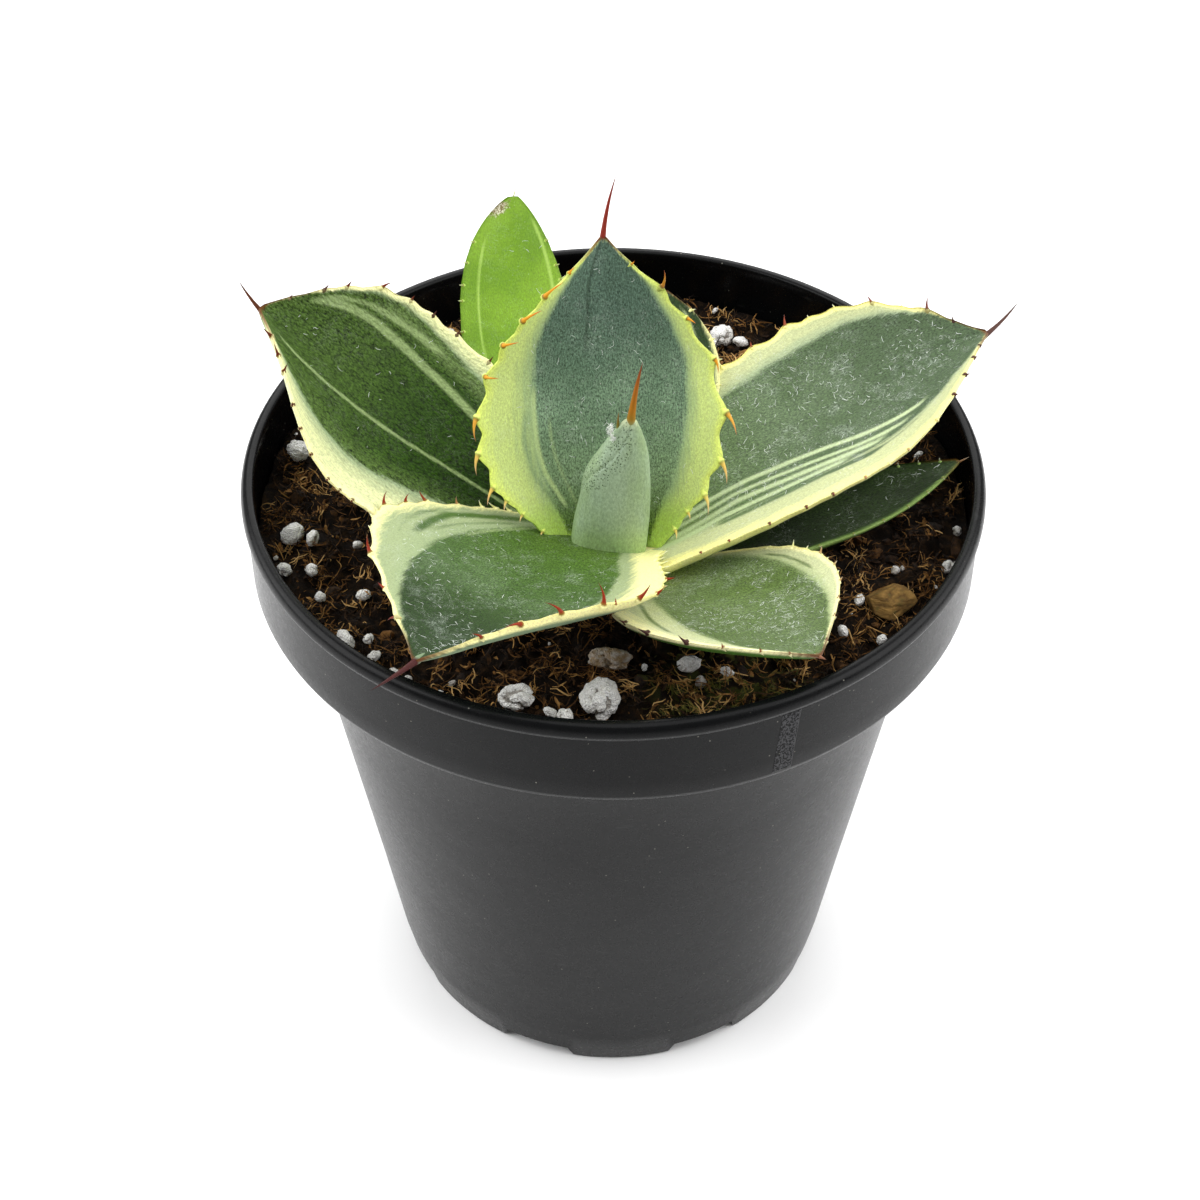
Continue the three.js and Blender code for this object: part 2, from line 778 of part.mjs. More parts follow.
function budSolid() {
  const top = new THREE.Vector3(BUD_TIP_SHIFT, 0, BUD_BASE_Z + BUD_HEIGHT - 0.6);
  const lean = new THREE.Vector3(0.1, 0.05, 1);
  const bend = new THREE.Vector3(1, 0.3, 0);
  const tall = thornGeometry(
    top,
    lean,
    BUD_SPINE_LENGTH,
    BUD_SPINE_RADIUS,
    BUD_SPINE_SUNK,
    SPINE_SIDES,
    bend,
  );
  const small = thornGeometry(
    top.clone().add(new THREE.Vector3(...INNER_SPINE_OFFSET)),
    new THREE.Vector3(-0.12, 0, 1),
    INNER_SPINE_LENGTH,
    INNER_SPINE_RADIUS,
    BUD_SPINE_SUNK,
    SPINE_SIDES,
  );
  return joined([solid(budGeometry()), solid(tall), solid(small)]);
}

const plantGroup = new THREE.Group();
plantGroup.position.set(CROWN_X, CROWN_Y, SOIL_LEVEL);
plantGroup.add(namedMesh("crown_stem", solid(stemGeometry()), STEM_COLOUR, 0.7));
plantGroup.add(namedMesh("centre_bud", budSolid(), BUD_COLOUR, 0.55));

const clearBlades = LEAVES.map((leaf) => solid(bladeGeometry(leaf, SEAT_GAP)));
let inside = joined([solid(stemGeometry(SEAT_GAP)), solid(budGeometry(SEAT_GAP))]);
let placedTeeth = inside;
LEAVES.forEach((leaf, i) => {
  const others = clearBlades.filter((blade) => blade !== clearBlades[i]);
  const teeth = toothSolids(leaf, joined([placedTeeth, ...others]));
  plantGroup.add(namedMesh(leaf.name, leafSolid(leaf, inside, teeth), leaf.colour, 0.5));
  placedTeeth = joined([placedTeeth, ...teeth]);
  inside = inside.add(clearBlades[i]);
});

const lumpGroup = new THREE.Group();
let carved = inside.translate([CROWN_X, CROWN_Y, SOIL_LEVEL]);
for (const lump of LUMPS) {
  const colour = lump.perlite ? PERLITE_COLOUR : BARK_COLOUR;
  lumpGroup.add(namedMesh(lump.name, solid(lumpGeometry(lump)), colour, 0.95));
  carved = carved.add(solid(lumpGeometry(lump, SEAT_GAP)));
}

const soilWhole = joined([soilBody(), soilCrumbs(), soilSticks()]);
const soil = largestBody(soilWhole.subtract(carved));

const pottedAgave = new THREE.Group();
pottedAgave.add(namedMesh("pot", potSolid(), POT_COLOUR, 0.38));
pottedAgave.add(namedMesh("soil", soil, SOIL_COLOUR, 0.95));
pottedAgave.add(lumpGroup);
pottedAgave.add(plantGroup);

export default pottedAgave;
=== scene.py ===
import math
import random

import bmesh
import bpy
import numpy as np
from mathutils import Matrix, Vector, noise


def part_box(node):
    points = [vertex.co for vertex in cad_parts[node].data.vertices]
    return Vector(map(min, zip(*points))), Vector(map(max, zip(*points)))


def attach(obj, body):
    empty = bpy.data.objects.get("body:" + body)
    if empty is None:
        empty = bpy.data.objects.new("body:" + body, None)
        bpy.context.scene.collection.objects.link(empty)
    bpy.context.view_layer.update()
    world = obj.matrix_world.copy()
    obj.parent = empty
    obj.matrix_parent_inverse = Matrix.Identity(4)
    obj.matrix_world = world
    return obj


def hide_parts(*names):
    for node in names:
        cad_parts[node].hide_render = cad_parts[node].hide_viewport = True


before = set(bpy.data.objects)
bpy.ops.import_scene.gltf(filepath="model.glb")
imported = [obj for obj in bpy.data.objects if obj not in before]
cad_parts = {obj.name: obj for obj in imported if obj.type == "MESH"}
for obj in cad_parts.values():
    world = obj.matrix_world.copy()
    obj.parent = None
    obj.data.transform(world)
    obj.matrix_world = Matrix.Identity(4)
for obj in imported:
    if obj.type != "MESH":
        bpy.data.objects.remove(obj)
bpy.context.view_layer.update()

# The fine shapes and finishes of a variegated artichoke agave in a nursery pot. Shapes are worked
# out in millimetres, in the pot's frame, and reach their meshes in metres.
MM = 0.001

# Pot: a profile of radius and height, turned about the pot's axis. Angles are in degrees
POT_HEIGHT = 138.7
LIP_RADIUS = 76.0
LIP_WIDTH = 2.8
LIP_DEPTH = 3.4
BAND_RADIUS = 75.4
BAND_FOOT_Z = 118.4
SHOULDER_DROP = 1.0
WALL = 1.6
WALL_TOP_RADIUS = 67.1
WALL_FOOT_RADIUS = 51.6
FLOOR_RADIUS = 49.0
CHAMFER_HEIGHT = 10.0
FOOT_OUTER_RADIUS = 49.8
FOOT_INNER_RADIUS = 42.0
FOOT_HEIGHT = 3.6
FOOT_COUNT = 8
FOOT_ANGLE = 26.0
# The middle of the foot in front
FRONT_FOOT_AT = -87.0
PAD_RADIUS = 14.0
DRAIN_SIZE = (6.0, 8.0)
DRAIN_RADIUS = 43.0
POT_SEGMENTS = 192
GRIP_STRIP_AT = -64.3
GRIP_STRIP_ANGLE = 2.9
# How far the strip leans round the band over its height
GRIP_STRIP_LEAN = 1.3

# Soil
SOIL_LEVEL = 126.7
SOIL_SWELL = 1.3
SOIL_RADIUS = 73.4
# Cells along each side of the bed's grid
SOIL_CELLS = 190
# Bundles of fibre in each of two layers, and the other loose bits
BUNDLES = 700
FLAKES = 2400
CLODS = 170
CRUMBS = 1300
CLEAR_OF_WALL = 0.4
# How finely a clod is divided
CLOD_LEVEL = 2
# A crumb of soil that lies against the front right leaf
STRAY_CRUMB = (19.0, -18.6, 130.6)
# The middle of a mossy patch, at the right front
MOSS_AT = (22, -54, 128)
# Bits of perlite in all, seen and strewn
BIT_COUNT = 100
# The shapes that clods, crumbs and bits of perlite are copies of, and the nodules of a lump
SHAPE_COUNT = 6
NODULES = 38

# Plant
CROWN = np.array([0.0, -19.0, SOIL_LEVEL])
STEM_RADIUS = 8.5
STEM_PROFILE = [(4, -20), (6, -16), (6.8, -8), (8.3, -2), (STEM_RADIUS, 0), (STEM_RADIUS, 1.4),
                (7.4, 2.4), (5.4, 3.3), (3.4, 4), (0.5, 4.2)]
BUD_BASE_Z = 4.5
BUD_HEIGHT = 33.5
BUD_HALF_WIDTH = 7.6
BUD_DEPTH_SHARE = 0.66
# How far the bud leans along X, at its foot and at its top
BUD_SHIFT = (-0.9, 3.3)
# The bud's half-width and height, as shares of the widest and of the full height
BUD_OUTLINE = [(0.05, -0.1), (0.85, -0.095), (0.97, -0.03), (1, 0.06), (1, 0.14), (0.985, 0.25),
               (0.93, 0.38), (0.86, 0.5), (0.78, 0.6), (0.69, 0.7), (0.6, 0.77), (0.5, 0.83),
               (0.38, 0.89), (0.27, 0.94), (0.18, 0.975), (0.1, 0.995), (0.02, 1)]
# The bud's two spines: place from the bud's top, reach, bend and radius
BUD_SPINES = [((0, 0, 0), (1.2, 0.6, 13.6), (0.9, 0.3, 0.0), 0.78),
              ((-2.3, 0, -2.4), (-0.5, 0, 4.6), (0.5, 0.2, 0.0), 0.42)]
# How far a blade goes down into the crown
BLADE_ROOT = 7.0
# A blade's grid: cells across its upper face, across its underside, and rows
FINE_GRID = (104, 34, 172)
COARSE_GRID = (60, 24, 104)
# Blades less wide than this take the coarse grid
NARROW = 35
# A blade's section bends in steps, and more towards the margin
BOW_STEPS = 12
BOW_GROWTH = 1.3
FOLD_FROM = 0.55
TIP_HALF_WIDTH = 0.4
RIPPLE_HEIGHT = 0.25
RIPPLE_LENGTH = 17.0
SPINE_SUNK = 1.2
# The patches of hairs on a leaf, and the hairs of the bud's tuft of down
LINT_PATCHES = 5
DOWN_COUNT = 110
# The side of the square that a blade's UV sheet stands for
SHEET_MM = 100

# Colours of the leaves' marks, as display values from 0 to 255
CREASE_SHADE = (36, 50, 34)
BLOOM = (184, 194, 184)
SCUFF_WHITE = (232, 236, 230)
LEAF_DUST = (222, 226, 212)
SCAR_BROWN = (112, 100, 52)
SCAR_PALE = (214, 210, 186)
HORN = (104, 64, 28)
DARK_TOOTH = (58, 24, 14)
LINT_WHITE = (226, 232, 226)

# Stage. The camera is the photograph's, solved from the pot's ellipses
CAMERA_AT = (0, -354.99, 436.63)
CAMERA_LOOK = (-0.005528, 0.724297, -0.689466)
CAMERA_LENS = 67.83
CAMERA_SENSOR = 36.0
TENT_GLOW = 0.33
# Soft panels: name, place, what they aim at and size in metres, and power in watts
PANELS = [
    ("overhead", (0.1, -0.1, 1.3), (0, 0, 0.1), (1.2, 1.1), 7.2),
    ("left panel", (-0.7, 0.0, 0.45), (-0.45, 0, 0.0), (0.8, 0.8), 7.6),
    ("right panel", (0.7, 0.0, 0.45), (0.45, 0, 0.0), (0.8, 0.8), 6.9),
    ("back panel", (0, 0.85, 0.6), (0, 0.2, 0.0), (0.9, 0.7), 5.5),
]

# Leaves. Angles are in degrees: heading turns from +X towards +Y, rise is above the horizontal,
# and turn, lift and twist are their change from base to tip. Places on a blade are (share of the
# length, share of the half-width, plus on the left). A tooth is (share of the length, length in mm,
# how far it points outward, towards the tip and up from the face, tone), and its tone is below 0
# for a pale tooth and above 0 for a dark one. One that points straight outward is (share of the
# length, length in mm, tone). A border is where the green middle ends. A streak is its strength,
# dark below 0 and pale above, its half-width in mm, and its course. A crease is its depth and
# half-width in mm, and its course. Lint is a count of hairs, and a scar is the place of a healed
# graze and its size in mm. Cup, curl and fold bend the section: cup at the base, the curls at the
# tip, and fold along the midrib. The neck is the width at the base, a share of the widest.
LEAVES = [
    dict(
        node="leaf_centre_back", finish="blue green", slot="leaf_blue_green",
        base=(0.8, 2, 4), heading=95, turn=3, rise=63, lift=3, length=62, width=50, widest=0.38,
        neck=0.41, roll=-6, twist=3, cup=51, curl_left=38, curl_right=26, fold=16, left_share=1.1,
        end_bow=2.45, end_pull=1.19, flesh=4.4, scallop=2.1, lint=60,
        spine=dict(length=11.9, side=-16, up=9, radius=1.15),
        teeth_left=[
            (0.07, 1.2, 0.6, -0.7, 0.1, -0.5), (0.135, 1.6, 0.6, -0.7, 0.1, -0.5),
            (0.19, 2.2, 0.5, -0.8, 0.1, -0.5), (0.24, 3.6, 0.55, -0.84, 0, -0.4),
            (0.357, 4.2, 0.25, -1, 0, -0.4), (0.475, 4.6, 0.2, -1, 0, -0.2),
            (0.603, 3.2, -0.1, 0, 1, 0), (0.70, 3.8, -0.1, 0.25, 1, 0),
            (0.772, 4.4, -0.3, 0.5, 0.85, 0), (0.84, 4.6, -0.3, 0.62, 0.75, 0),
            (0.902, 1.8, -0.1, 0.7, 0.7, 0),
        ],
        teeth_right=[
            (0.06, 2.0, 0.3, -0.95, 0.1, -0.5), (0.12, 1.6, 0.4, -0.9, 0, -0.5),
            (0.182, 4.0, 0.25, -0.97, 0, -0.5), (0.292, 4.5, 0.35, -0.94, 0, -0.4),
            (0.445, 4.7, 0.54, -0.84, 0, -0.2), (0.613, 3.0, 0.3, -0.95, 0, 0),
            (0.743, 2.2, 0.8, -0.35, 0, 0), (0.843, 3.4, 0.3, 0.95, 0, 0.5),
            (0.912, 1.0, 0.6, 0.6, 0, 0.3),
        ],
        border_left=[(0, 0.66), (0.1, 0.62), (0.2, 0.56), (0.4, 0.54), (0.6, 0.59), (0.8, 0.68),
                     (0.9, 0.76), (1, 0.95)],
        border_right=[(0, 0.66), (0.1, 0.6), (0.3, 0.6), (0.5, 0.68), (0.7, 0.74), (0.85, 0.8),
                      (1, 0.95)],
        streaks=[(0.6, 0.7, [(0.16, 0.5), (0.25, 0.54), (0.52, 0.57)]),
                 (-0.5, 0.9, [(0.12, 0.56), (0.25, 0.63), (0.45, 0.63)]),
                 (0.35, 0.6, [(0.1, 0.36), (0.3, 0.43), (0.42, 0.45)])],
        creases=[(0.3, 0.36, [(0.56, 0.18), (0.68, 0.2), (0.75, 0.2), (0.85, 0.27), (0.97, 0.33)])],
    ),
    dict(
        node="leaf_front_left", finish="grey green", slot="leaf_grey_green",
        base=(-3.8, -1.5, 6.7), heading=240, turn=4, rise=27, lift=-12, length=70, width=59,
        widest=0.45, neck=0.47, roll=3, twist=-7, cup=18, curl_left=58, curl_right=17, fold=1,
        left_share=0.92, end_bow=1.48, end_pull=1.11, flesh=2.8, scallop=1.4, lint=190,
        spine=dict(length=11.9, side=-8, up=-1, radius=1.2),
        teeth_left=[
            (0.0, 2.9, 0.9, 0, 0.45, -1), (0.03, 2.3, 0.95, 0.1, 0.35, -1),
            (0.065, 2.5, 0.95, 0.1, 0.3, -1), (0.1, 2.2, 0.95, 0.1, 0.2, -1),
            (0.15, 1.8, 1, 0.1, 0.1, -1), (0.21, 2.2, 1, 0, 0.1, 0), (0.3, 1.2, 1, 0, 0.2, -0.5),
            (0.4, 2.2, 0.9, 0, 0.4, 0), (0.5, 4.0, 0.9, 0, 0.44, 0), (0.557, 1.2, 0.5, 0, 0.8, 0),
            (0.6, 4.3, 0.38, 0, 0.92, 0), (0.698, 4.0, 0, 0.51, 0.86, 0),
            (0.787, 4.2, 0, 0.94, 0.33, 0), (0.865, 2.2, 0, 0.65, 0.75, 0.3),
        ],
        teeth_right=[
            (0.02, 1.6, 0.8, 0.1, 0.5, -1), (0.05, 1.8, 0.9, 0.2, 0.4, -1),
            (0.08, 2.2, 0.9, 0.3, 0.2, -1), (0.118, 1.7, 0.8, 0, 0.5, -1),
            (0.182, 1.8, 0.6, 0, 0.8, -0.3), (0.265, 2.8, 0.7, 0.35, 0.55, -0.1),
            (0.333, 2.4, 0.1, 0, 1, 0), (0.41, 3.0, 0.33, 0, 0.94, 0), (0.46, 1.0, 0.8, 0, 0.5, -1),
            (0.5, 1.2, 1, 0, 0.2, -1), (0.56, 1.0, 1, 0, 0.2, -1), (0.68, 3.6, 0.7, -0.1, 0.72, 0),
            (0.792, 1.7, 1, 0, 0.1, 0), (0.88, 2.0, 0.55, 0, -0.83, 0.5),
        ],
        border_left=[(0, 0.48), (0.08, 0.5), (0.2, 0.56), (0.4, 0.62), (0.6, 0.68), (0.8, 0.78),
                     (0.92, 0.9), (1, 1.05)],
        border_right=[(0, 0.62), (0.2, 0.62), (0.5, 0.6), (0.6, 0.64), (0.7, 0.7), (0.8, 0.78),
                      (0.9, 0.84), (1, 1.05)],
        streaks=[(-0.85, 1.2, [(0.05, -0.8), (0.25, -0.83), (0.42, -0.74)]),
                 (-0.5, 0.6, [(0.12, -0.7), (0.3, -0.71), (0.36, -0.7)]),
                 (-0.4, 0.5, [(0.3, -0.88), (0.5, -0.8)]),
                 (-0.35, 0.5, [(0.2, -0.92), (0.4, -0.87)]),
                 (0.35, 0.8, [(0.02, -0.6), (0.3, -0.58)])],
        creases=[(0.2, 0.6, [(0.78, 0.3), (0.9, 0.45)])],
    ),
    dict(
        node="leaf_right", finish="frosted green", slot="leaf_grey_green",
        base=(4.9, 3.9, 4), heading=25, turn=-2, rise=23, lift=-6, length=83, width=50, widest=0.56,
        neck=0.58, roll=0, twist=-5, cup=36, curl_left=23, curl_right=24, fold=14, left_share=1.0,
        end_bow=2.69, end_pull=1.27, flesh=3.8, scallop=1.6, lint=290,
        spine=dict(length=9.4, side=23, up=6, radius=1.1),
        teeth_left=[
            (0.22, 1.2, -0.5), (0.31, 1.4, -0.8), (0.41, 1.6, -0.8), (0.5, 1.6, 0.9, 0.3, 0, 0.3),
            (0.6, 2.6, 0.85, 0.4, 0.3, 0.2), (0.66, 1.0, -0.8), (0.725, 1.2, -0.8),
            (0.805, 1.9, 0.5), (0.86, 1.0, -0.8), (0.905, 2.9, 0.85, 0.5, 0.2, 0.6),
            (0.943, 1.2, 0.9, 0.3, 0, 1),
        ],
        teeth_right=[
            (0.1, 0.8, 0.4), (0.17, 0.9, 0.4), (0.27, 1.1, 0.6), (0.362, 1.2, 0.6),
            (0.43, 1.2, 0.6), (0.515, 1.1, -0.3), (0.58, 0.8, -0.8), (0.635, 1.0, -0.4),
            (0.73, 1.1, -0.6), (0.802, 1.6, 1, 0.3, 0, 0.8), (0.858, 1.7, 1, 0.4, 0, 0.8),
            (0.91, 1.5, 1, 0.4, 0, 0.8), (0.95, 0.9, 1, 0.5, 0, 0.9),
        ],
        border_left=[(0, 0.7), (0.3, 0.76), (0.6, 0.79), (0.8, 0.82), (0.92, 0.92), (1, 1.05)],
        border_right=[(0, 0.3), (0.1, 0.44), (0.25, 0.52), (0.4, 0.57), (0.55, 0.6), (0.7, 0.62),
                      (0.85, 0.66), (0.95, 0.84), (1, 1.05)],
        streaks=[(0.75, 0.7, [(0.02, -0.14), (0.2, -0.11), (0.3, -0.14), (0.4, -0.2), (0.5, -0.28),
                              (0.6, -0.38), (0.74, -0.5)]),
                 (0.7, 0.6, [(0.08, -0.22), (0.25, -0.22), (0.35, -0.27), (0.45, -0.35),
                             (0.55, -0.44), (0.68, -0.55)]),
                 (0.75, 0.8, [(0.08, -0.34), (0.25, -0.32), (0.35, -0.37), (0.45, -0.44),
                              (0.6, -0.55)]),
                 (0.75, 0.8, [(0.06, -0.44), (0.2, -0.43), (0.35, -0.48), (0.5, -0.55)]),
                 (-0.8, 0.8, [(0.2, -0.52), (0.3, -0.55), (0.45, -0.59), (0.57, -0.66)]),
                 (-0.5, 0.5, [(0.5, -0.62), (0.6, -0.65), (0.72, -0.66)])],
        creases=[(0.2, 0.45, [(0.62, 0.04), (0.75, 0.1), (0.97, 0.25)])],
    ),
    dict(
        node="leaf_left", finish="dark green", slot="leaf_dark_green",
        base=(-8.3, 3, 3), heading=157, turn=2, rise=27, lift=8, length=78, width=51, widest=0.57,
        neck=0.44, roll=-7, twist=4, cup=24, curl_left=26, curl_right=25, fold=24, left_share=1.08,
        end_bow=2.45, end_pull=1.03, flesh=4.2, scallop=1.3, lint=40,
        spine=dict(length=6.5, side=-17, up=7, radius=1.0),
        teeth_left=[
            (0.3, 1.0, 0.5), (0.37, 1.0, 0.5), (0.44, 1.0, 0.5), (0.52, 1.1, 0.5), (0.56, 0.8, 0.5),
            (0.60, 1.1, 0.5), (0.67, 1.2, 1, 0.2, 0.3, 0.5), (0.73, 1.2, 1, 0.2, 0.3, 0.5),
            (0.78, 1.3, 0.8, 0.4, 0.4, 0.6), (0.85, 1.8, 0.2, 0.2, 1, 0.5),
            (0.885, 2.4, 0.2, 0.8, 0.5, 0.5), (0.93, 2.3, 0.1, 1, 0.1, 0.5),
        ],
        teeth_right=[
            (0.35, 1.2, 0.3), (0.45, 1.6, 0.6), (0.56, 1.4, 0.8), (0.64, 1.3, 0.9),
            (0.71, 1.3, 0.5), (0.79, 2.4, 0.9, -0.4, 0, 0.2), (0.86, 1.6, 0.5), (0.90, 1.4, 0.8),
            (0.955, 0.9, 0.7),
        ],
        border_left=[(0, 0.3), (0.25, 0.42), (0.4, 0.5), (0.5, 0.56), (0.6, 0.6), (0.8, 0.66),
                     (0.92, 0.8), (1, 1.05)],
        border_right=[(0, 0.72), (0.4, 0.8), (0.55, 0.84), (0.7, 0.9), (0.8, 0.92), (0.9, 0.93),
                      (1, 1.05)],
        streaks=[(0.85, 0.42, [(0.15, 0.08), (0.3, 0.1), (0.4, 0.12), (0.5, 0.15), (0.6, 0.17),
                               (0.7, 0.2), (0.8, 0.26), (0.9, 0.38)]),
                 (0.9, 0.95, [(0.2, -0.42), (0.4, -0.5), (0.5, -0.54), (0.6, -0.57), (0.7, -0.6),
                              (0.8, -0.66), (0.88, -0.72)]),
                 (0.6, 0.6, [(0.6, -0.76), (0.7, -0.75), (0.8, -0.78), (0.88, -0.82)]),
                 (0.3, 2.6, [(0.2, -0.72), (0.5, -0.74), (0.75, -0.82)])],
        creases=[],
    ),
    dict(
        node="leaf_front_right", finish="scuffed green", slot="leaf_grey_green",
        base=(4.9, -5.9, 2), heading=310, turn=-3, rise=21, lift=-1, length=56, width=45,
        widest=0.47, neck=0.33, roll=-10, twist=3, cup=28, curl_left=38, curl_right=24, fold=2,
        left_share=1.04, end_bow=2.29, end_pull=1.1, flesh=3.8, scallop=0.9, lint=240,
        spine=dict(length=1.6, side=0, up=0, radius=0.9),
        teeth_left=[
            (0.3, 0.9, -1), (0.39, 1.7, 0.9, -0.2, 0.5, -1), (0.453, 1.2, 1, 0, 0.2, -1),
            (0.53, 1.9, 0.9, -0.2, 0.4, -0.3), (0.58, 0.8, -1), (0.638, 1.3, -0.4),
            (0.69, 0.8, -0.8), (0.74, 1.2, -0.3), (0.815, 0.8, 0.8, 0, 0.5, 0.3),
            (0.88, 0.8, 0.8, 0, 0.5, 0.4), (0.955, 0.7, 0.8, 0, 0.5, 0.5),
        ],
        teeth_right=[
            (0.35, 1.4, 0.5), (0.45, 1.6, 1, 0, 0.2, 0.8), (0.57, 2.5, 1, 0, 0.2, 1),
            (0.708, 2.5, 0.9, 0, 0.4, 1), (0.8, 0.9, 0.6, 0, 0.8, 0.4),
            (0.883, 0.8, 0.6, 0, 0.8, 0.4), (0.94, 0.6, 0.6, 0, 0.8, 0.4),
        ],
        border_left=[(0, 0.86), (0.2, 0.88), (0.35, 0.82), (0.5, 0.78), (0.7, 0.75), (0.85, 0.78),
                     (0.95, 0.9), (1, 1.05)],
        border_right=[(0, 0.2), (0.2, 0.32), (0.4, 0.42), (0.6, 0.52), (0.75, 0.62), (0.88, 0.78),
                      (0.96, 0.95), (1, 1.05)],
        streaks=[(-0.75, 0.45, [(0.34, 0.89), (0.44, 0.87), (0.54, 0.85)]),
                 (-0.7, 0.8, [(0.28, -0.56), (0.42, -0.66), (0.56, -0.74)]),
                 (-0.35, 0.9, [(0.1, -0.3), (0.26, -0.42)])],
        creases=[(0.15, 0.5, [(0.82, 0.1), (0.98, 0.02)])],
    ),
    dict(
        node="leaf_back_right", finish="grey green", slot="leaf_grey_green",
        base=(3, 7, 1), heading=81, turn=1, rise=28, lift=-2, length=57, width=30, widest=0.59,
        neck=0.6, roll=-1, twist=0, cup=31, curl_left=30, curl_right=31, fold=15, left_share=1.0,
        end_bow=2.4, end_pull=1.06, flesh=3.6, scallop=0.5, lint=12,
        spine=dict(length=2, side=0, up=5, radius=0.6),
        teeth_left=[(u, 1.0, -0.8) for u in (0.4, 0.5, 0.6, 0.7, 0.8, 0.9)],
        teeth_right=[(u, 1.2, -0.8) for u in (0.4, 0.5, 0.6, 0.695, 0.772, 0.893)],
        border_left=[(0, 0.94), (1, 1.1)],
        border_right=[(0, 0.92), (0.8, 0.94), (1, 1.1)],
        streaks=[(0.4, 0.7, [(0.3, -0.6), (0.7, -0.66), (0.9, -0.72)])],
        creases=[],
    ),
    dict(
        node="leaf_back_left", finish="lime", slot="leaf_lime",
        base=(-9, 7, 1), heading=107, turn=-12, rise=32, lift=-2, length=77, width=23, widest=0.53,
        neck=0.62, roll=-3, twist=-1, cup=30, curl_left=27, curl_right=33, fold=14, left_share=1.2,
        end_bow=2.8, end_pull=0.85, flesh=3.4, scallop=0.35, lint=14, scar=(0.955, 0.85, 2.6),
        spine=dict(length=2.0, side=-30, up=20, radius=0.45),
        teeth_left=[(u, 0.9, 0) for u in (0.4, 0.5, 0.6, 0.685, 0.728, 0.79, 0.85)],
        teeth_right=[
            (0.5, 0.9, 0), (0.6, 1.0, 0), (0.66, 1.5, 0.9, 0.4, 0, 0), (0.72, 1.3, 0.9, 0.4, 0, 0),
            (0.763, 0.9, 0), (0.84, 0.8, 0),
        ],
        border_left=[(0, 2.0), (1, 2.0)],
        border_right=[(0, 2.0), (1, 2.0)],
        streaks=[(0.5, 0.4, [(0.3, 0.62), (0.6, 0.7), (0.85, 0.72)]),
                 (0.5, 0.6, [(0.4, -0.55), (0.7, -0.72), (0.9, -0.8)])],
        creases=[],
    ),
    dict(
        node="leaf_right_low", finish="plain green", slot="leaf_dark_green",
        base=(9, -3, 2), heading=13, turn=11, rise=7, lift=6, length=66, width=17, widest=0.53,
        neck=0.69, roll=-2, twist=0, cup=32, curl_left=22, curl_right=20, fold=1, left_share=0.93,
        end_bow=2.25, end_pull=1.07, flesh=3.0, scallop=0.3, lint=24,
        spine=dict(length=2, side=0, up=0, radius=0.6),
        teeth_left=[(u, 0.9, 0.9, 0.4, 0, 0)
                    for u in (0.35, 0.45, 0.55, 0.65, 0.74, 0.825, 0.885, 0.945)],
        teeth_right=[(u, 0.7, 0) for u in (0.35, 0.47, 0.58, 0.68, 0.77, 0.848, 0.917)],
        border_left=[(0, 2.0), (1, 2.0)],
        border_right=[(0, 0.86), (0.6, 0.88), (0.9, 0.86), (1, 0.9)],
        streaks=[],
        creases=[],
    ),
]

# Lumps on the soil: node, x and y, radius, its stretch along X, Y and Z, and how brown it is
LUMPS = [
    ("perlite_front_large", (-2.3, -58.5), 4, (1, 1.15, 0.9), 0.15),
    ("perlite_front_left", (-18, -57.5), 3.4, (1.1, 0.8, 0.8), 0.05),
    ("perlite_front_long", (-0.5, -48.5), 3, (1.45, 0.8, 0.8), 0.75),
    ("perlite_back_right", (24.4, 57.5), 2.8, (1, 1, 0.9), 0.0),
    ("perlite_left", (-67, 14), 2.5, (1, 1, 0.9), 0.1),
    ("bark_chip", (54.3, -31), 5, (1.05, 0.9, 0.55), 0.0),
]
# The share of its radius by which a lump is sunk
LUMP_SUNK = 0.35

# Small bits that lie in the open: x, y, radius in mm
SEEN_BITS = [
    (-51.7, -43.6, 2.0), (-8.8, -62.8, 1.7), (14.7, -48.9, 2.0), (-65.5, -10.9, 2.3),
    (55.6, -26.4, 1.5), (48.9, -30.5, 1.3), (67.6, -19.2, 1.6), (28.6, 55, 1.9),
    (21.8, 53.8, 1.6), (-7.2, -66, 1.4), (-11.5, -61, 1.3), (2.5, -67.5, 2.2),
    (-33, -57, 1.3), (-46, -46.5, 1.5), (60, 3, 1.1), (17, -51, 1.4), (-58, -30, 1.3),
    (-61, -14, 1.9), (-66, -22, 1.6), (-60.5, -22, 1.5), (-52, -14, 1.1), (-49.5, -29, 1.3),
    (-54.5, -47.5, 1.8), (-47.5, -42, 1.2), (-42, -50.5, 1.0), (-68, -33, 1.3),
    (-27.5, -64, 1.4), (-23, -64.5, 1.2), (-35.5, -61.5, 1.1), (22, -50, 1.2),
    (65.5, -33, 1.7), (62, -38, 1.4), (45, -39.5, 1.2), (52.5, -41, 1.1), (70.5, -9, 1.2),
    (57, -20, 1.0), (33.5, 51, 1.5), (36, 56.5, 1.1), (16, 60, 1.2), (-38, 53, 1.3),
    (-33, 57.5, 1.1), (-56, 26, 1.2), (-30, 61, 1.0),
]


def bell(x):
    """1 at 0, falling away smoothly to either side."""
    return np.exp(-(x ** 2))


def smooth(x):
    """0 below 0 and 1 above 1, with a soft step between."""
    t = np.clip(x, 0, 1)
    return t * t * (3 - 2 * t)


def unit(vector):
    return vector / np.linalg.norm(vector)


def about_z(angle):
    """A turn about Z, in radians."""
    return np.array([[math.cos(angle), -math.sin(angle), 0],
                     [math.sin(angle), math.cos(angle), 0], [0, 0, 1]])


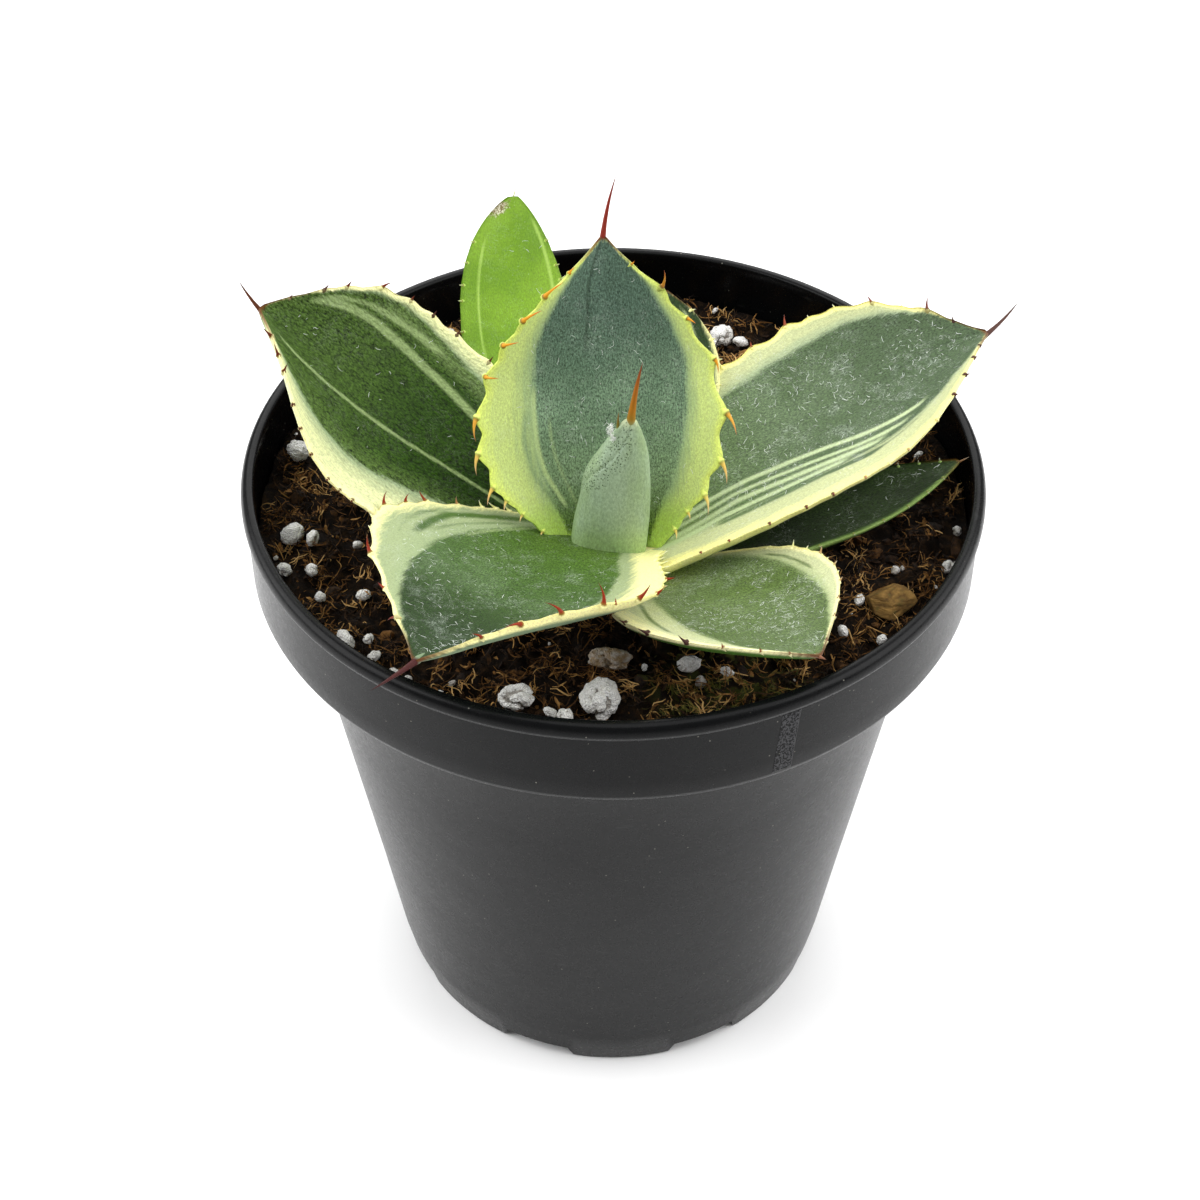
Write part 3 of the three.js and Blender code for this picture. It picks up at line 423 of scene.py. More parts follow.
def turned_by(heading, tilt, roll):
    """A turn by roll about X, then tilt about Y, then heading about Z, in degrees."""
    h, t, r = math.radians(heading), math.radians(tilt), math.radians(roll)
    tip = np.array([[math.cos(t), 0, math.sin(t)], [0, 1, 0], [-math.sin(t), 0, math.cos(t)]])
    own = np.array([[1, 0, 0], [0, math.cos(r), -math.sin(r)], [0, math.sin(r), math.cos(r)]])
    return about_z(h) @ tip @ own


def random_turn(draw, tilt):
    return turned_by(draw.uniform(0, 360), draw.uniform(-tilt, tilt), draw.uniform(-180, 180))


def waves(points, scale, detail=2, seed=0.0):
    """Smooth noise from about -1 to 1 at points in mm, in swells about scale long."""
    shift = Vector((seed, 1.7 * seed, -seed))
    return np.array([noise.fractal(Vector(p) / scale + shift, 1.0, 2.0, detail) for p in points])


def deselect():
    bpy.ops.object.select_all(action="DESELECT")


def take(piece):
    """Selects one piece alone and makes it the active one."""
    deselect()
    piece.select_set(True)
    bpy.context.view_layer.objects.active = piece
    return piece


def titled(name):
    piece = bpy.context.object
    piece.name = name
    piece.data.name = name
    return piece


def rounded(piece):
    take(piece)
    bpy.ops.object.shade_smooth()


def places_of(piece):
    flat = np.empty(len(piece.data.vertices) * 3)
    piece.data.vertices.foreach_get("co", flat)
    return flat.reshape(-1, 3)


def set_places(piece, metres):
    piece.data.vertices.foreach_set("co", np.ascontiguousarray(metres, dtype=np.float32).ravel())
    piece.data.update()


def set_values(piece, **named):
    """A number for every vertex under each name, by which a finish reads it."""
    count = len(piece.data.vertices)
    for name, values in named.items():
        held = piece.data.attributes.new(name, "FLOAT", "POINT")
        held.data.foreach_set("value", np.broadcast_to(values, count).astype(np.float32))


def facing_out(piece):
    """Turns a closed shell the right way, if its volume comes out negative."""
    shell = bmesh.new()
    shell.from_mesh(piece.data)
    if shell.calc_volume(signed=True) < 0:
        bmesh.ops.reverse_faces(shell, faces=shell.faces)
        shell.to_mesh(piece.data)
    shell.free()
    return piece


def edit_all(piece):
    """Edit mode, with the whole piece selected."""
    take(piece)
    bpy.ops.object.mode_set(mode="EDIT")
    bpy.ops.mesh.select_all(action="SELECT")


def close_doubles(piece, distance=1e-6):
    edit_all(piece)
    bpy.ops.mesh.remove_doubles(threshold=distance)
    bpy.ops.object.mode_set(mode="OBJECT")
    return facing_out(piece)


def turned_shell(name, profile, segments):
    """One ring, extruded and scaled along a profile of (radius, height) in mm, its ends shut."""
    radius, height = profile[0]
    deselect()
    bpy.ops.mesh.primitive_circle_add(vertices=segments, radius=radius * MM, fill_type="NGON")
    bpy.ops.object.mode_set(mode="EDIT")
    bpy.ops.transform.translate(value=(0, 0, height * MM))
    for (r, z), (next_r, next_z) in zip(profile, profile[1:]):
        step = {"value": (0, 0, (next_z - z) * MM)}
        bpy.ops.mesh.extrude_region_move(TRANSFORM_OT_translate=step)
        share = next_r / r
        bpy.ops.transform.resize(value=(share, share, 1), center_override=(0, 0, next_z * MM))
    bpy.ops.object.mode_set(mode="OBJECT")
    return facing_out(titled(name))


def use_modifier(piece, kind, **settings):
    take(piece)
    added = piece.modifiers.new(kind.lower(), kind)
    for key, value in settings.items():
        setattr(added, key, value)
    bpy.ops.object.modifier_apply(modifier=added.name)


def shape_of(piece):
    """A modelled shape's places and triangles, to be copied; the shape itself is then removed."""
    edit_all(piece)
    bpy.ops.mesh.quads_convert_to_tris()
    bpy.ops.object.mode_set(mode="OBJECT")
    places = places_of(piece)
    corners = np.empty(len(piece.data.polygons) * 3, dtype=int)
    piece.data.polygons.foreach_get("vertices", corners)
    bpy.data.objects.remove(piece)
    return places, corners.reshape(-1, 3)


def copies(name, placed, **values):
    """One mesh of many copies: placed lists (shape, 3x3 turn, offset in mm), and each value is one
    number a copy."""
    places = [shape[0] @ turn.T + offset for shape, turn, offset in placed]
    counts = [len(p) for p in places]
    starts = np.cumsum([0] + counts[:-1])
    faces = [shape[1] + start for (shape, turn, offset), start in zip(placed, starts)]
    mesh = bpy.data.meshes.new(name)
    mesh.from_pydata((np.concatenate(places) * MM).tolist(), [], np.concatenate(faces).tolist())
    piece = bpy.data.objects.new(name, mesh)
    bpy.context.scene.collection.objects.link(piece)
    set_values(piece, **{key: np.repeat(numbers, counts) for key, numbers in values.items()})
    return piece


def join_into(piece, others):
    take(piece)
    for other in others:
        other.select_set(True)
    bpy.ops.object.join()
    return piece


def belongs(piece, node, slot, finish):
    """The piece rides with the pot, stands for its node, if it has one, and takes its finish."""
    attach(piece, "root")
    if node:
        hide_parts(node)
    piece.data.materials.clear()
    piece.data.materials.append(finish)
    return piece


# Finishes
class Wire:
    """What a finish's nodes work out; plain arithmetic on it adds the nodes for that."""

    def __init__(self, finish, socket):
        self.finish = finish
        self.socket = socket

    def __add__(self, other):
        return self.finish.maths("ADD", self, other)

    def __sub__(self, other):
        return self.finish.maths("SUBTRACT", self, other)

    def __rsub__(self, other):
        return self.finish.maths("SUBTRACT", other, self)

    def __mul__(self, other):
        return self.finish.maths("MULTIPLY", self, other)

    def __abs__(self):
        return self.finish.maths("ABSOLUTE", self)

    __radd__ = __add__
    __rmul__ = __mul__


class Finish:
    """A procedural material: each method adds a node and gives what comes out of it."""

    def __init__(self, name, roughness=0.5, **skin):
        self.material = bpy.data.materials.new(name)
        self.material.use_nodes = True
        self.tree = self.material.node_tree
        self.skin = self.tree.nodes["Principled BSDF"]
        self.skin.inputs["Roughness"].default_value = roughness
        for key, value in skin.items():
            socket = key.replace("_", " ").title().replace("Ior", "IOR")
            self.skin.inputs[socket].default_value = value

    def node(self, kind, sockets=(), out=0, **settings):
        made = self.tree.nodes.new("ShaderNode" + kind)
        for key, value in settings.items():
            setattr(made, key, value)
        for key, value in dict(sockets).items():
            self.feed(made.inputs[key], value)
        return Wire(self, made.outputs[out])

    def feed(self, socket, value):
        if isinstance(value, Wire):
            self.tree.links.new(value.socket, socket)
        else:
            socket.default_value = value

    def place(self, scale=(1, 1, 1)):
        """The point's place in the object, in mm."""
        at = self.node("TexCoord", out=3)
        return self.node("Mapping", {0: at, 3: tuple(1000 * s for s in scale)})

    def along_blade(self, scale):
        """The point's place on a blade in mm, along and across it."""
        at = self.node("TexCoord", out=2)
        return self.node("Mapping", {0: at, 3: (SHEET_MM * scale[0], SHEET_MM * scale[1], 1)})

    def value(self, name):
        """A number that set_values gave the piece."""
        return self.node("Attribute", out=2, attribute_name=name)

    def noise(self, at, scale, detail=3.0, roughness=0.55, distortion=0.0):
        return self.node("TexNoise", {"Vector": at, "Scale": scale, "Detail": detail,
                                      "Roughness": roughness, "Distortion": distortion})

    def cells(self, at, scale, feature="F1"):
        return self.node("TexVoronoi", {"Vector": at, "Scale": scale}, feature=feature)

    def parts(self, at):
        """The place's x, y and z."""
        made = self.node("SeparateXYZ", {0: at}).socket.node
        return [Wire(self, socket) for socket in made.outputs]

    def far_from(self, at, spot):
        return self.node("VectorMath", {0: at, 1: spot}, out=1, operation="DISTANCE")

    def maths(self, operation, a, b=0.0):
        return self.node("Math", {0: a, 1: b}, operation=operation)

    def ease(self, x, low, high):
        """0 below low and 1 above high, with a soft step between."""
        return self.node("MapRange", {0: x, 1: low, 2: high}, interpolation_type="SMOOTHSTEP")

    def span(self, x, low, high, first, last):
        """From first, where x is low or less, evenly to last, where it is high or more."""
        return self.node("MapRange", {0: x, 1: low, 2: high, 3: first, 4: last})

    def mix(self, share, a, b, kind="MIX"):
        sockets = {0: share, 6: rgb(a), 7: rgb(b)}
        return self.node("Mix", sockets, out=2, data_type="RGBA", blend_type=kind)

    def shaded(self, colour, by):
        """The colour times a number."""
        return self.mix(1.0, colour, self.node("CombineColor", {0: by, 1: by, 2: by}), "MULTIPLY")

    def ramp(self, x, stops):
        made = self.tree.nodes.new("ShaderNodeValToRGB")
        points = made.color_ramp.elements
        while len(points) < len(stops):
            points.new(0.5)
        for point, (at, colour) in zip(points, stops):
            point.position = at
            point.color = rgb(colour)
        self.feed(made.inputs[0], x)
        return Wire(self, made.outputs[0])

    def finish(self, colour, roughness=None, height=None, depth=0.1, strength=1.0):
        """The finished material. The height is a relief, depth mm deep."""
        self.feed(self.skin.inputs["Base Color"], colour)
        if roughness is not None:
            self.feed(self.skin.inputs["Roughness"], roughness)
        if height is not None:
            sockets = {"Height": height, "Distance": depth * MM, "Strength": strength}
            self.feed(self.skin.inputs["Normal"], self.node("Bump", sockets))
        return self.material


def rgb(colour):
    """Display values from 0 to 255 as a linear colour; what nodes work out passes unchanged."""
    if isinstance(colour, Wire):
        return colour
    scaled = [c / 255 for c in colour]
    linear = [c / 12.92 if c <= 0.04045 else ((c + 0.055) / 1.055) ** 2.4 for c in scaled]
    return (*linear, 1.0)


# Leaf surfaces. A place on a blade is u, its share of the length, and v, its share of the
# half-width, which is above 0 on the left.
def sides_of(leaf):
    """1 for the left side and -1 for the right, each with its teeth in full."""
    for side, teeth in (1, leaf["teeth_left"]), (-1, leaf["teeth_right"]):
        yield side, [t if len(t) > 3 else (t[0], t[1], 1, 0, 0, t[2]) for t in teeth]


def outline(leaf, u):
    """Half-width at a share u of the length, as a share of the widest."""
    low = leaf["neck"] + (1 - leaf["neck"]) * np.sin(np.pi / 2 * np.clip(u / leaf["widest"], 0, 1))
    past = np.clip((u - leaf["widest"]) / (1 - leaf["widest"]), 0, 1)
    return np.where(u < leaf["widest"], low, (1 - past ** leaf["end_bow"]) ** leaf["end_pull"])


def blade_frame(leaf, u):
    """Directions along the midrib, across the blade to the left, and out of its upper face."""
    share = np.maximum(u, 0)
    rise = np.radians(leaf["rise"] + leaf["lift"] * share)
    heading = np.radians(leaf["heading"] + leaf["turn"] * share)
    roll = np.radians(leaf["roll"] + leaf["twist"] * share)[..., None]
    level = np.stack([-np.sin(heading), np.cos(heading), 0 * heading], -1)
    flat = np.cos(rise)
    along = np.stack([flat * np.cos(heading), flat * np.sin(heading), np.sin(rise)], -1)
    out = np.cross(along, level)
    across = level * np.cos(roll) + out * np.sin(roll)
    return along, across, out * np.cos(roll) - level * np.sin(roll)


def midrib(leaf, u):
    """The midrib's points, added up along its direction."""
    fine = np.linspace(0, 1, 201)
    middles = (fine[1:] + fine[:-1]) / 2
    steps = blade_frame(leaf, middles)[0] * leaf["length"] / len(middles)
    line = np.array(leaf["base"], float) + np.concatenate([[[0, 0, 0]], np.cumsum(steps, 0)])
    back = blade_frame(leaf, np.zeros(1))[0] * leaf["length"]
    points = np.stack([np.interp(u, fine, line[:, k]) for k in range(3)], -1)
    return points + np.minimum(u, 0)[..., None] * back


def half_width(leaf, u, side):
    share = np.where(side > 0, leaf["left_share"], 2 - leaf["left_share"])
    return leaf["width"] / 2 * outline(leaf, np.maximum(u, 0)) * share + TIP_HALF_WIDTH


def rim_distance(leaf, u, v):
    """How far a place lies inside the blade's edge, in mm."""
    return (1 - np.abs(v)) * half_width(leaf, u, v)


def blade_surface(leaf, u, v):
    """Points of the upper face, its normal, and the outward direction in the section."""
    along, across, out = blade_frame(leaf, u)
    side = np.where(v < 0, -1.0, 1.0)
    curl = np.where(side > 0, leaf["curl_left"], leaf["curl_right"])
    bow = np.radians(leaf["cup"] + (curl - leaf["cup"]) * smooth(u))
    fold = np.radians(leaf["fold"] * smooth((u - FOLD_FROM) / (1 - FOLD_FROM)))
    half = half_width(leaf, u, side)
    point = midrib(leaf, u) + CROWN
    for i in range(BOW_STEPS):
        angle = fold + bow * (np.abs(v) * (i + 0.5) / BOW_STEPS) ** BOW_GROWTH
        step = half * np.abs(v) / BOW_STEPS
        point = point + across * (side * step * np.cos(angle))[..., None]
        point = point + out * (step * np.sin(angle))[..., None]
    angle = (fold * smooth(np.abs(v) * 8) + bow * np.abs(v) ** BOW_GROWTH)[..., None]
    face = out * np.cos(angle) - across * side[..., None] * np.sin(angle)
    outward = across * side[..., None] * np.cos(angle) + out * np.sin(angle)
    return point, face, outward


def margin_edge(leaf, u, v):
    """How far the margin stands out at its teeth, and in between them, in mm."""
    total = np.zeros_like(u)
    for side, teeth in sides_of(leaf):
        here = np.where(v * side > 0, 1.0, 0.0)
        for at, size, *rest in teeth:
            width = (1.5 + 0.3 * size) / leaf["length"]
            total = np.maximum(total, here * min(size / 3.0, 1.1) * bell((u - at) / width))
    fade = smooth(np.clip(u, 0, 1) / 0.05) * smooth((0.995 - u) / 0.05)
    return leaf["scallop"] * (total - 0.42 * fade) * np.abs(v) ** 7


def flesh_at(leaf, u, v):
    """Thickness of the blade: full across the middle, rounding in to a thin edge at each margin."""
    end = np.sqrt(np.clip(1 - np.clip(u, 0, 1) ** 9, 0, 1))
    thick = leaf["flesh"] * (1 - 0.5 * smooth(u)) * end + 0.3
    return thick * np.sqrt(np.clip(1 - np.abs(v) ** 2.4, 0, 1))


def ripple(leaf, point, to_rim):
    """The face's low swells in mm, which die out towards the edge."""
    return RIPPLE_HEIGHT * waves(point, RIPPLE_LENGTH, 2, leaf["heading"]) * smooth(to_rim / 3)


def course(points, u):
    at, across = zip(*points)
    return np.interp(u, at, across)


def creases(leaf, u, v):
    """How deep the blade's creases are at a place, in mm."""
    total = np.zeros_like(u)
    for depth, width, points in leaf["creases"]:
        fade = smooth((u - points[0][0]) / 0.12) * smooth((points[-1][0] - u) / 0.02 + 1)
        total += depth * fade * bell((v - course(points, u)) * half_width(leaf, u, v) / width)
    return total


def variegation(leaf, u, v):
    """Distance inside the green middle's border, in mm, and the streaks' strength."""
    half = half_width(leaf, u, v)
    border = np.where(v > 0, course(leaf["border_left"], u), course(leaf["border_right"], u))
    streak = np.zeros_like(u)
    for strength, width, points in leaf["streaks"]:
        fade = smooth((u - points[0][0]) / 0.06 + 1) * smooth((points[-1][0] - u) / 0.09 + 0.7)
        streak += strength * fade * bell((v - course(points, u)) * half / width)
    return (border - np.abs(v)) * half, np.clip(streak, -1, 1)


def scar_at(leaf, u, v):
    """How far a place lies inside the blade's healed graze, from 0 to 1."""
    if "scar" not in leaf:
        return np.zeros_like(u)
    at, across, size = leaf["scar"]
    far = np.hypot((u - at) * leaf["length"], (v - across) * half_width(leaf, u, v))
    return bell(far / size)


def blade_piece(leaf):
    """The blade, from a grid wrapped round its section: over the upper face and back underneath."""
    over, under, rows = COARSE_GRID if leaf["width"] < NARROW else FINE_GRID
    deselect()
    bpy.ops.mesh.primitive_grid_add(x_subdivisions=over + under, y_subdivisions=rows, size=1)
    piece = titled(leaf["node"])
    flat = places_of(piece) + 0.5
    share = over / (over + under)
    lower = flat[:, 0] > share
    round_under = (flat[:, 0] - share) / (1 - share)
    v = np.where(lower, -np.cos(np.pi * round_under), 1 - 2 * flat[:, 0] / share)
    v = np.clip(v, -1, 1)
    # The rows lie closer together towards the tip
    root = -BLADE_ROOT / leaf["length"]
    u = 1 - (1 - root) * (1 - flat[:, 1]) ** 1.08
    along = np.clip(u, 0, 1)
    point, face, outward = blade_surface(leaf, u, v)
    inside, streak = variegation(leaf, u, v)
    to_rim = rim_distance(leaf, u, v)
    folds = creases(leaf, u, v)
    point += outward * margin_edge(leaf, u, v)[:, None]
    swell = ripple(leaf, point, to_rim)
    rounding = -0.3 * (1 - smooth(to_rim / 0.9))
    point += face * np.where(lower, swell, swell - folds + rounding)[:, None]
    point -= face * np.where(lower, flesh_at(leaf, u, v), 0)[:, None]
    shut = (flat[:, 1] < 1e-6) | (flat[:, 1] > 1 - 1e-6)
    ends = midrib(leaf, u) + CROWN - blade_frame(leaf, u)[2] * 0.5
    point[shut] = ends[shut]
    set_places(piece, point * MM)
    horn = 0.9 * smooth((u - 0.86) / 0.12) * bell(to_rim / 0.45) + smooth((u - 0.982) / 0.014)
    rim_below = GREENS[leaf["finish"]]["under_rim"] * (1 - along)
    set_values(
        piece, inside_mm=inside, outer=to_rim / np.maximum(to_rim - inside, 0.3), streak=streak,
        rim_mm=to_rim, crease=folds / 0.3, horn=np.clip(horn, 0, 1),
        under=lower * smooth(to_rim - rim_below + 0.05), side=v,
        scar=scar_at(leaf, u, v), along=along, thorn=-1.0,
    )
    lay = np.empty(len(piece.data.loops), dtype=int)
    piece.data.loops.foreach_get("vertex_index", lay)
    sheet = np.stack([along * leaf["length"] / SHEET_MM,
                      0.5 + v * half_width(leaf, u, v) / SHEET_MM], -1)[lay]
    piece.data.uv_layers.active.data.foreach_set("uv", sheet.astype(np.float32).ravel())
    return close_doubles(piece)


def thorn_shape(rings, segments, flare):
    """A straight thorn one unit long with a flared foot and a sunk root, to be sized and bent."""
    profile = [(0.3, -0.3), (0.9 * flare, -0.06)]
    for i in range(rings):
        share = (i / rings) ** 1.4
        stout = 0.5 + (flare - 0.5) * math.exp(-share * 9)
        profile.append((stout * (1 - share) ** 0.75, share))
    profile.append((0.02, 1.0))
    return shape_of(turned_shell("thorn", [(r / MM, z / MM) for r, z in profile], segments))


def bent_thorn(shape, start, reach, bend, radius, root=1.2):
    """A thorn's copy along start + reach t + bend t squared, in mm, with a root root mm deep."""
    places, faces = shape
    t = places[:, 2]
    above = np.maximum(t, 0)[:, None]
    axis = unit(reach)
    side = unit(np.cross(axis, bend + np.array([0.01, 0.02, 0.03])))
    other = np.cross(axis, side)
    centre = start + above * reach + above ** 2 * bend
    centre = centre + np.minimum(t, 0)[:, None] / 0.3 * root * axis
    ring = places[:, :1] * side + places[:, 1:2] * other
    return (centre + ring * 2 * radius, faces), np.eye(3), np.zeros(3)


def thorns(leaf, tooth, spine):
    """A leaf's marginal teeth and its end spine, as one mesh."""
    placed = []
    tones = []
    for side, teeth in sides_of(leaf):
        for at, size, out, tipward, up, tone in teeth:
            u, v = np.array([at]), np.array([side * 1.0])
            point, face, outward = (part[0] for part in blade_surface(leaf, u, v))
            along = blade_frame(leaf, u)[0][0]
            stand = margin_edge(leaf, u, v)[0]
            goal = unit(out * outward + tipward * along + up * face)
            first = unit(goal + 0.7 * outward)
            start = point + outward * (stand - 0.4) - face * 0.3
            bend = (goal - first) * size * 1.1
            placed.append(bent_thorn(tooth, start, first * size, bend, 0.2 + 0.05 * size))
            tones.append(tone)
    along, across, out = (part[0] for part in blade_frame(leaf, np.ones(1)))
    tip = midrib(leaf, np.ones(1))[0] + CROWN - out * 0.6
    made = leaf["spine"]
    length = made["length"]
    lean = across * math.sin(math.radians(made["side"])) + out * math.sin(math.radians(made["up"]))
    start = tip - along * SPINE_SUNK - lean * 0.5
    reach = along * (length + SPINE_SUNK) + lean * length * 0.55
    placed.append(bent_thorn(spine, start, reach, lean * length * 0.45, made["radius"] / 2, 2.5))
    tones.append(0.0)
    teeth = len(placed) - 1
    heights = [tooth[0][:, 2]] * teeth + [spine[0][:, 2]]
    piece = copies(leaf["node"] + "_thorns", placed, tone=tones, end_spine=[0.0] * teeth + [1.0])
    set_values(piece, thorn=np.clip(np.concatenate(heights), 0, 1))
    return piece


def lint(leaf, threads):
    """Short white hairs and scratches that lie on the upper face, most of them in a few patches."""
    draw = random.Random(int(leaf["heading"]) + 7)
    hearts = [(draw.uniform(0.3, 0.9), draw.uniform(-0.6, 0.6)) for k in range(LINT_PATCHES)]
    placed = []
    for i in range(leaf["lint"]):
        if draw.random() < 0.6:
            heart = draw.choice(hearts)
            at, across = heart[0] + draw.gauss(0, 0.06), heart[1] + draw.gauss(0, 0.16)
        else:
            at, across = draw.uniform(0.12, 0.94), draw.uniform(-0.8, 0.8)
        if not (0.1 < at < 0.95 and abs(across) < 0.82):
            continue
        u, v = np.array([at]), np.array([across])
        point, face, outward = blade_surface(leaf, u, v)
        lift = ripple(leaf, point, rim_distance(leaf, u, v)) - creases(leaf, u, v)
        thread = draw.choice(threads)
        places, faces = fibre_of(thread, draw.uniform(0.5, 1.9), draw.uniform(0.07, 0.14))
        turn = draw.uniform(0, 2 * math.pi)
        side = np.cross(face[0], outward[0])
        x = side * math.cos(turn) + outward[0] * math.sin(turn)
        axes = np.stack([x, np.cross(face[0], x), face[0]], 1)
        flat = places * np.array([1, 1, 0.2])
        placed.append(((flat, faces), axes, point[0] + face[0] * (lift[0] + 0.05)))
    piece = copies(leaf["node"] + "_lint", placed)
    set_values(piece, lint=1.0, thorn=-1.0)
    return piece


def leaf_piece(leaf, tooth, spine, threads, finish):
    piece = join_into(blade_piece(leaf), [thorns(leaf, tooth, spine), lint(leaf, threads)])
    rounded(piece)
    return belongs(piece, leaf["node"], leaf["slot"], finish)


# Leaf finishes, with colours as display values. The green middle goes from foot, at the leaf's
# base, through low to middle and middle_2, and to tip, where one is given; near_border is its tone
# by the margin. The margin goes from near, by the green middle, to rim, and is margin_foot at the
# base. Streaks are pale. The underside is under, with under_margin along its sides, and keeps the
# rim's colour for under_rim mm at the base. warm_side moves the margin towards the rim's colour on
# the right side, or on the left where below 0. Gloss is the skin's roughness and shine its
# reflection. Scuff, bloom, pebble_and_highlight, grain and horn say how much it shows of scratches,
# white haze, raised cells with painted highlights on them, fine grain and a brown rim at the tip.
GREENS = {
    "blue green": dict(
        middle=(98, 124, 98), middle_2=(122, 148, 120), low=(120, 144, 104), foot=(88, 116, 34),
        tip=(84, 108, 92), margin_foot=(180, 212, 96), near=(152, 176, 130),
        margin=(206, 223, 136), rim=(224, 238, 120), pale=(190, 210, 146), under=(146, 168, 128),
        under_margin=(184, 202, 132), thorn=(220, 150, 30), thorn_end=(190, 80, 20),
        spine=(128, 34, 18), spine_end=(92, 26, 18), gloss=0.5, shine=0.3, scuff=0.22, bloom=0.35,
        pebble_and_highlight=0.35, horn=1.0, under_rim=1.0, warm_side=0.0,
    ),
    "grey green": dict(
        middle=(66, 92, 44), middle_2=(84, 108, 66), low=(74, 104, 38), foot=(84, 112, 46),
        tip=(34, 56, 20), near=(148, 164, 122), margin=(156, 170, 126), rim=(255, 249, 176),
        pale=(196, 210, 158), under=(120, 140, 108), thorn=(138, 42, 14), thorn_end=(84, 18, 10),
        spine=(62, 14, 12), spine_end=(50, 12, 12), gloss=0.42, shine=0.22, scuff=0.3, bloom=0.38,
        pebble_and_highlight=0.4, horn=1.0, under_rim=5.0, warm_side=-0.5,
    ),
    "frosted green": dict(
        middle=(74, 96, 58), middle_2=(96, 116, 82), low=(92, 116, 68), foot=(112, 136, 66),
        tip=(70, 90, 58), near=(160, 176, 138), margin=(196, 202, 150), rim=(252, 244, 160),
        pale=(190, 206, 158), under=(120, 140, 92), under_margin=(178, 188, 138),
        thorn=(150, 60, 26), thorn_end=(86, 30, 20), spine=(74, 40, 30), spine_end=(50, 30, 26),
        gloss=0.42, shine=0.35, scuff=0.4, bloom=0.7, pebble_and_highlight=0.4, horn=1.0, under_rim=1.5,
        warm_side=0.2,
    ),
    "scuffed green": dict(
        middle=(84, 106, 50), middle_2=(100, 120, 72), low=(108, 128, 82), foot=(150, 168, 84),
        tip=(84, 104, 58), near=(162, 178, 126), margin=(200, 206, 158), rim=(255, 249, 188),
        pale=(208, 220, 166), under=(66, 104, 32), thorn=(140, 76, 32), thorn_end=(76, 38, 20),
        spine=(130, 84, 58), spine_end=(104, 64, 44), gloss=0.42, shine=0.35, scuff=0.6,
        bloom=0.6, pebble_and_highlight=0.5, horn=1.0, under_rim=1.2, warm_side=0.2,
    ),
    "dark green": dict(
        middle=(36, 64, 6), middle_2=(46, 74, 14), low=(28, 52, 4), foot=(38, 60, 18),
        tip=(66, 90, 36), near_border=(78, 102, 46), near=(150, 168, 128), margin=(222, 226, 170),
        rim=(255, 249, 184), pale=(140, 160, 106), under=(112, 134, 76),
        under_margin=(196, 204, 150), thorn=(112, 44, 18), thorn_end=(58, 24, 16),
        spine=(84, 44, 26), spine_end=(56, 34, 28), gloss=0.36, shine=0.12, scuff=0.1, bloom=0.06,
        pebble_and_highlight=2.2, horn=1.0, under_rim=1.2, warm_side=0.0,
    ),
    "lime": dict(
        middle=(100, 140, 12), middle_2=(120, 158, 32), low=(100, 134, 24), foot=(100, 134, 24),
        near=(170, 200, 90), margin=(170, 200, 90), rim=(170, 200, 90), pale=(172, 204, 96),
        under=(120, 160, 40), thorn=(190, 200, 130), thorn_end=(214, 216, 186),
        spine=(140, 150, 60), spine_end=(120, 96, 60), gloss=0.42, shine=0.3, scuff=0.12,
        bloom=0.1, pebble_and_highlight=0.08, grain=0.05, horn=0.0, under_rim=0.0, warm_side=0.0, grazed=True,
    ),
    "plain green": dict(
        middle=(32, 48, 16), middle_2=(44, 62, 26), low=(28, 42, 12), foot=(28, 42, 12),
        near=(92, 124, 58), margin=(106, 138, 66), rim=(140, 168, 92), pale=(98, 130, 64),
        under=(54, 80, 32), thorn=(170, 174, 140), thorn_end=(206, 204, 190),
        spine=(120, 88, 58), spine_end=(170, 154, 130), gloss=0.42, shine=0.12, scuff=0.3,
        bloom=0.2, pebble_and_highlight=0.4, horn=0.6, under_rim=0.0, warm_side=0.0,
    ),
}


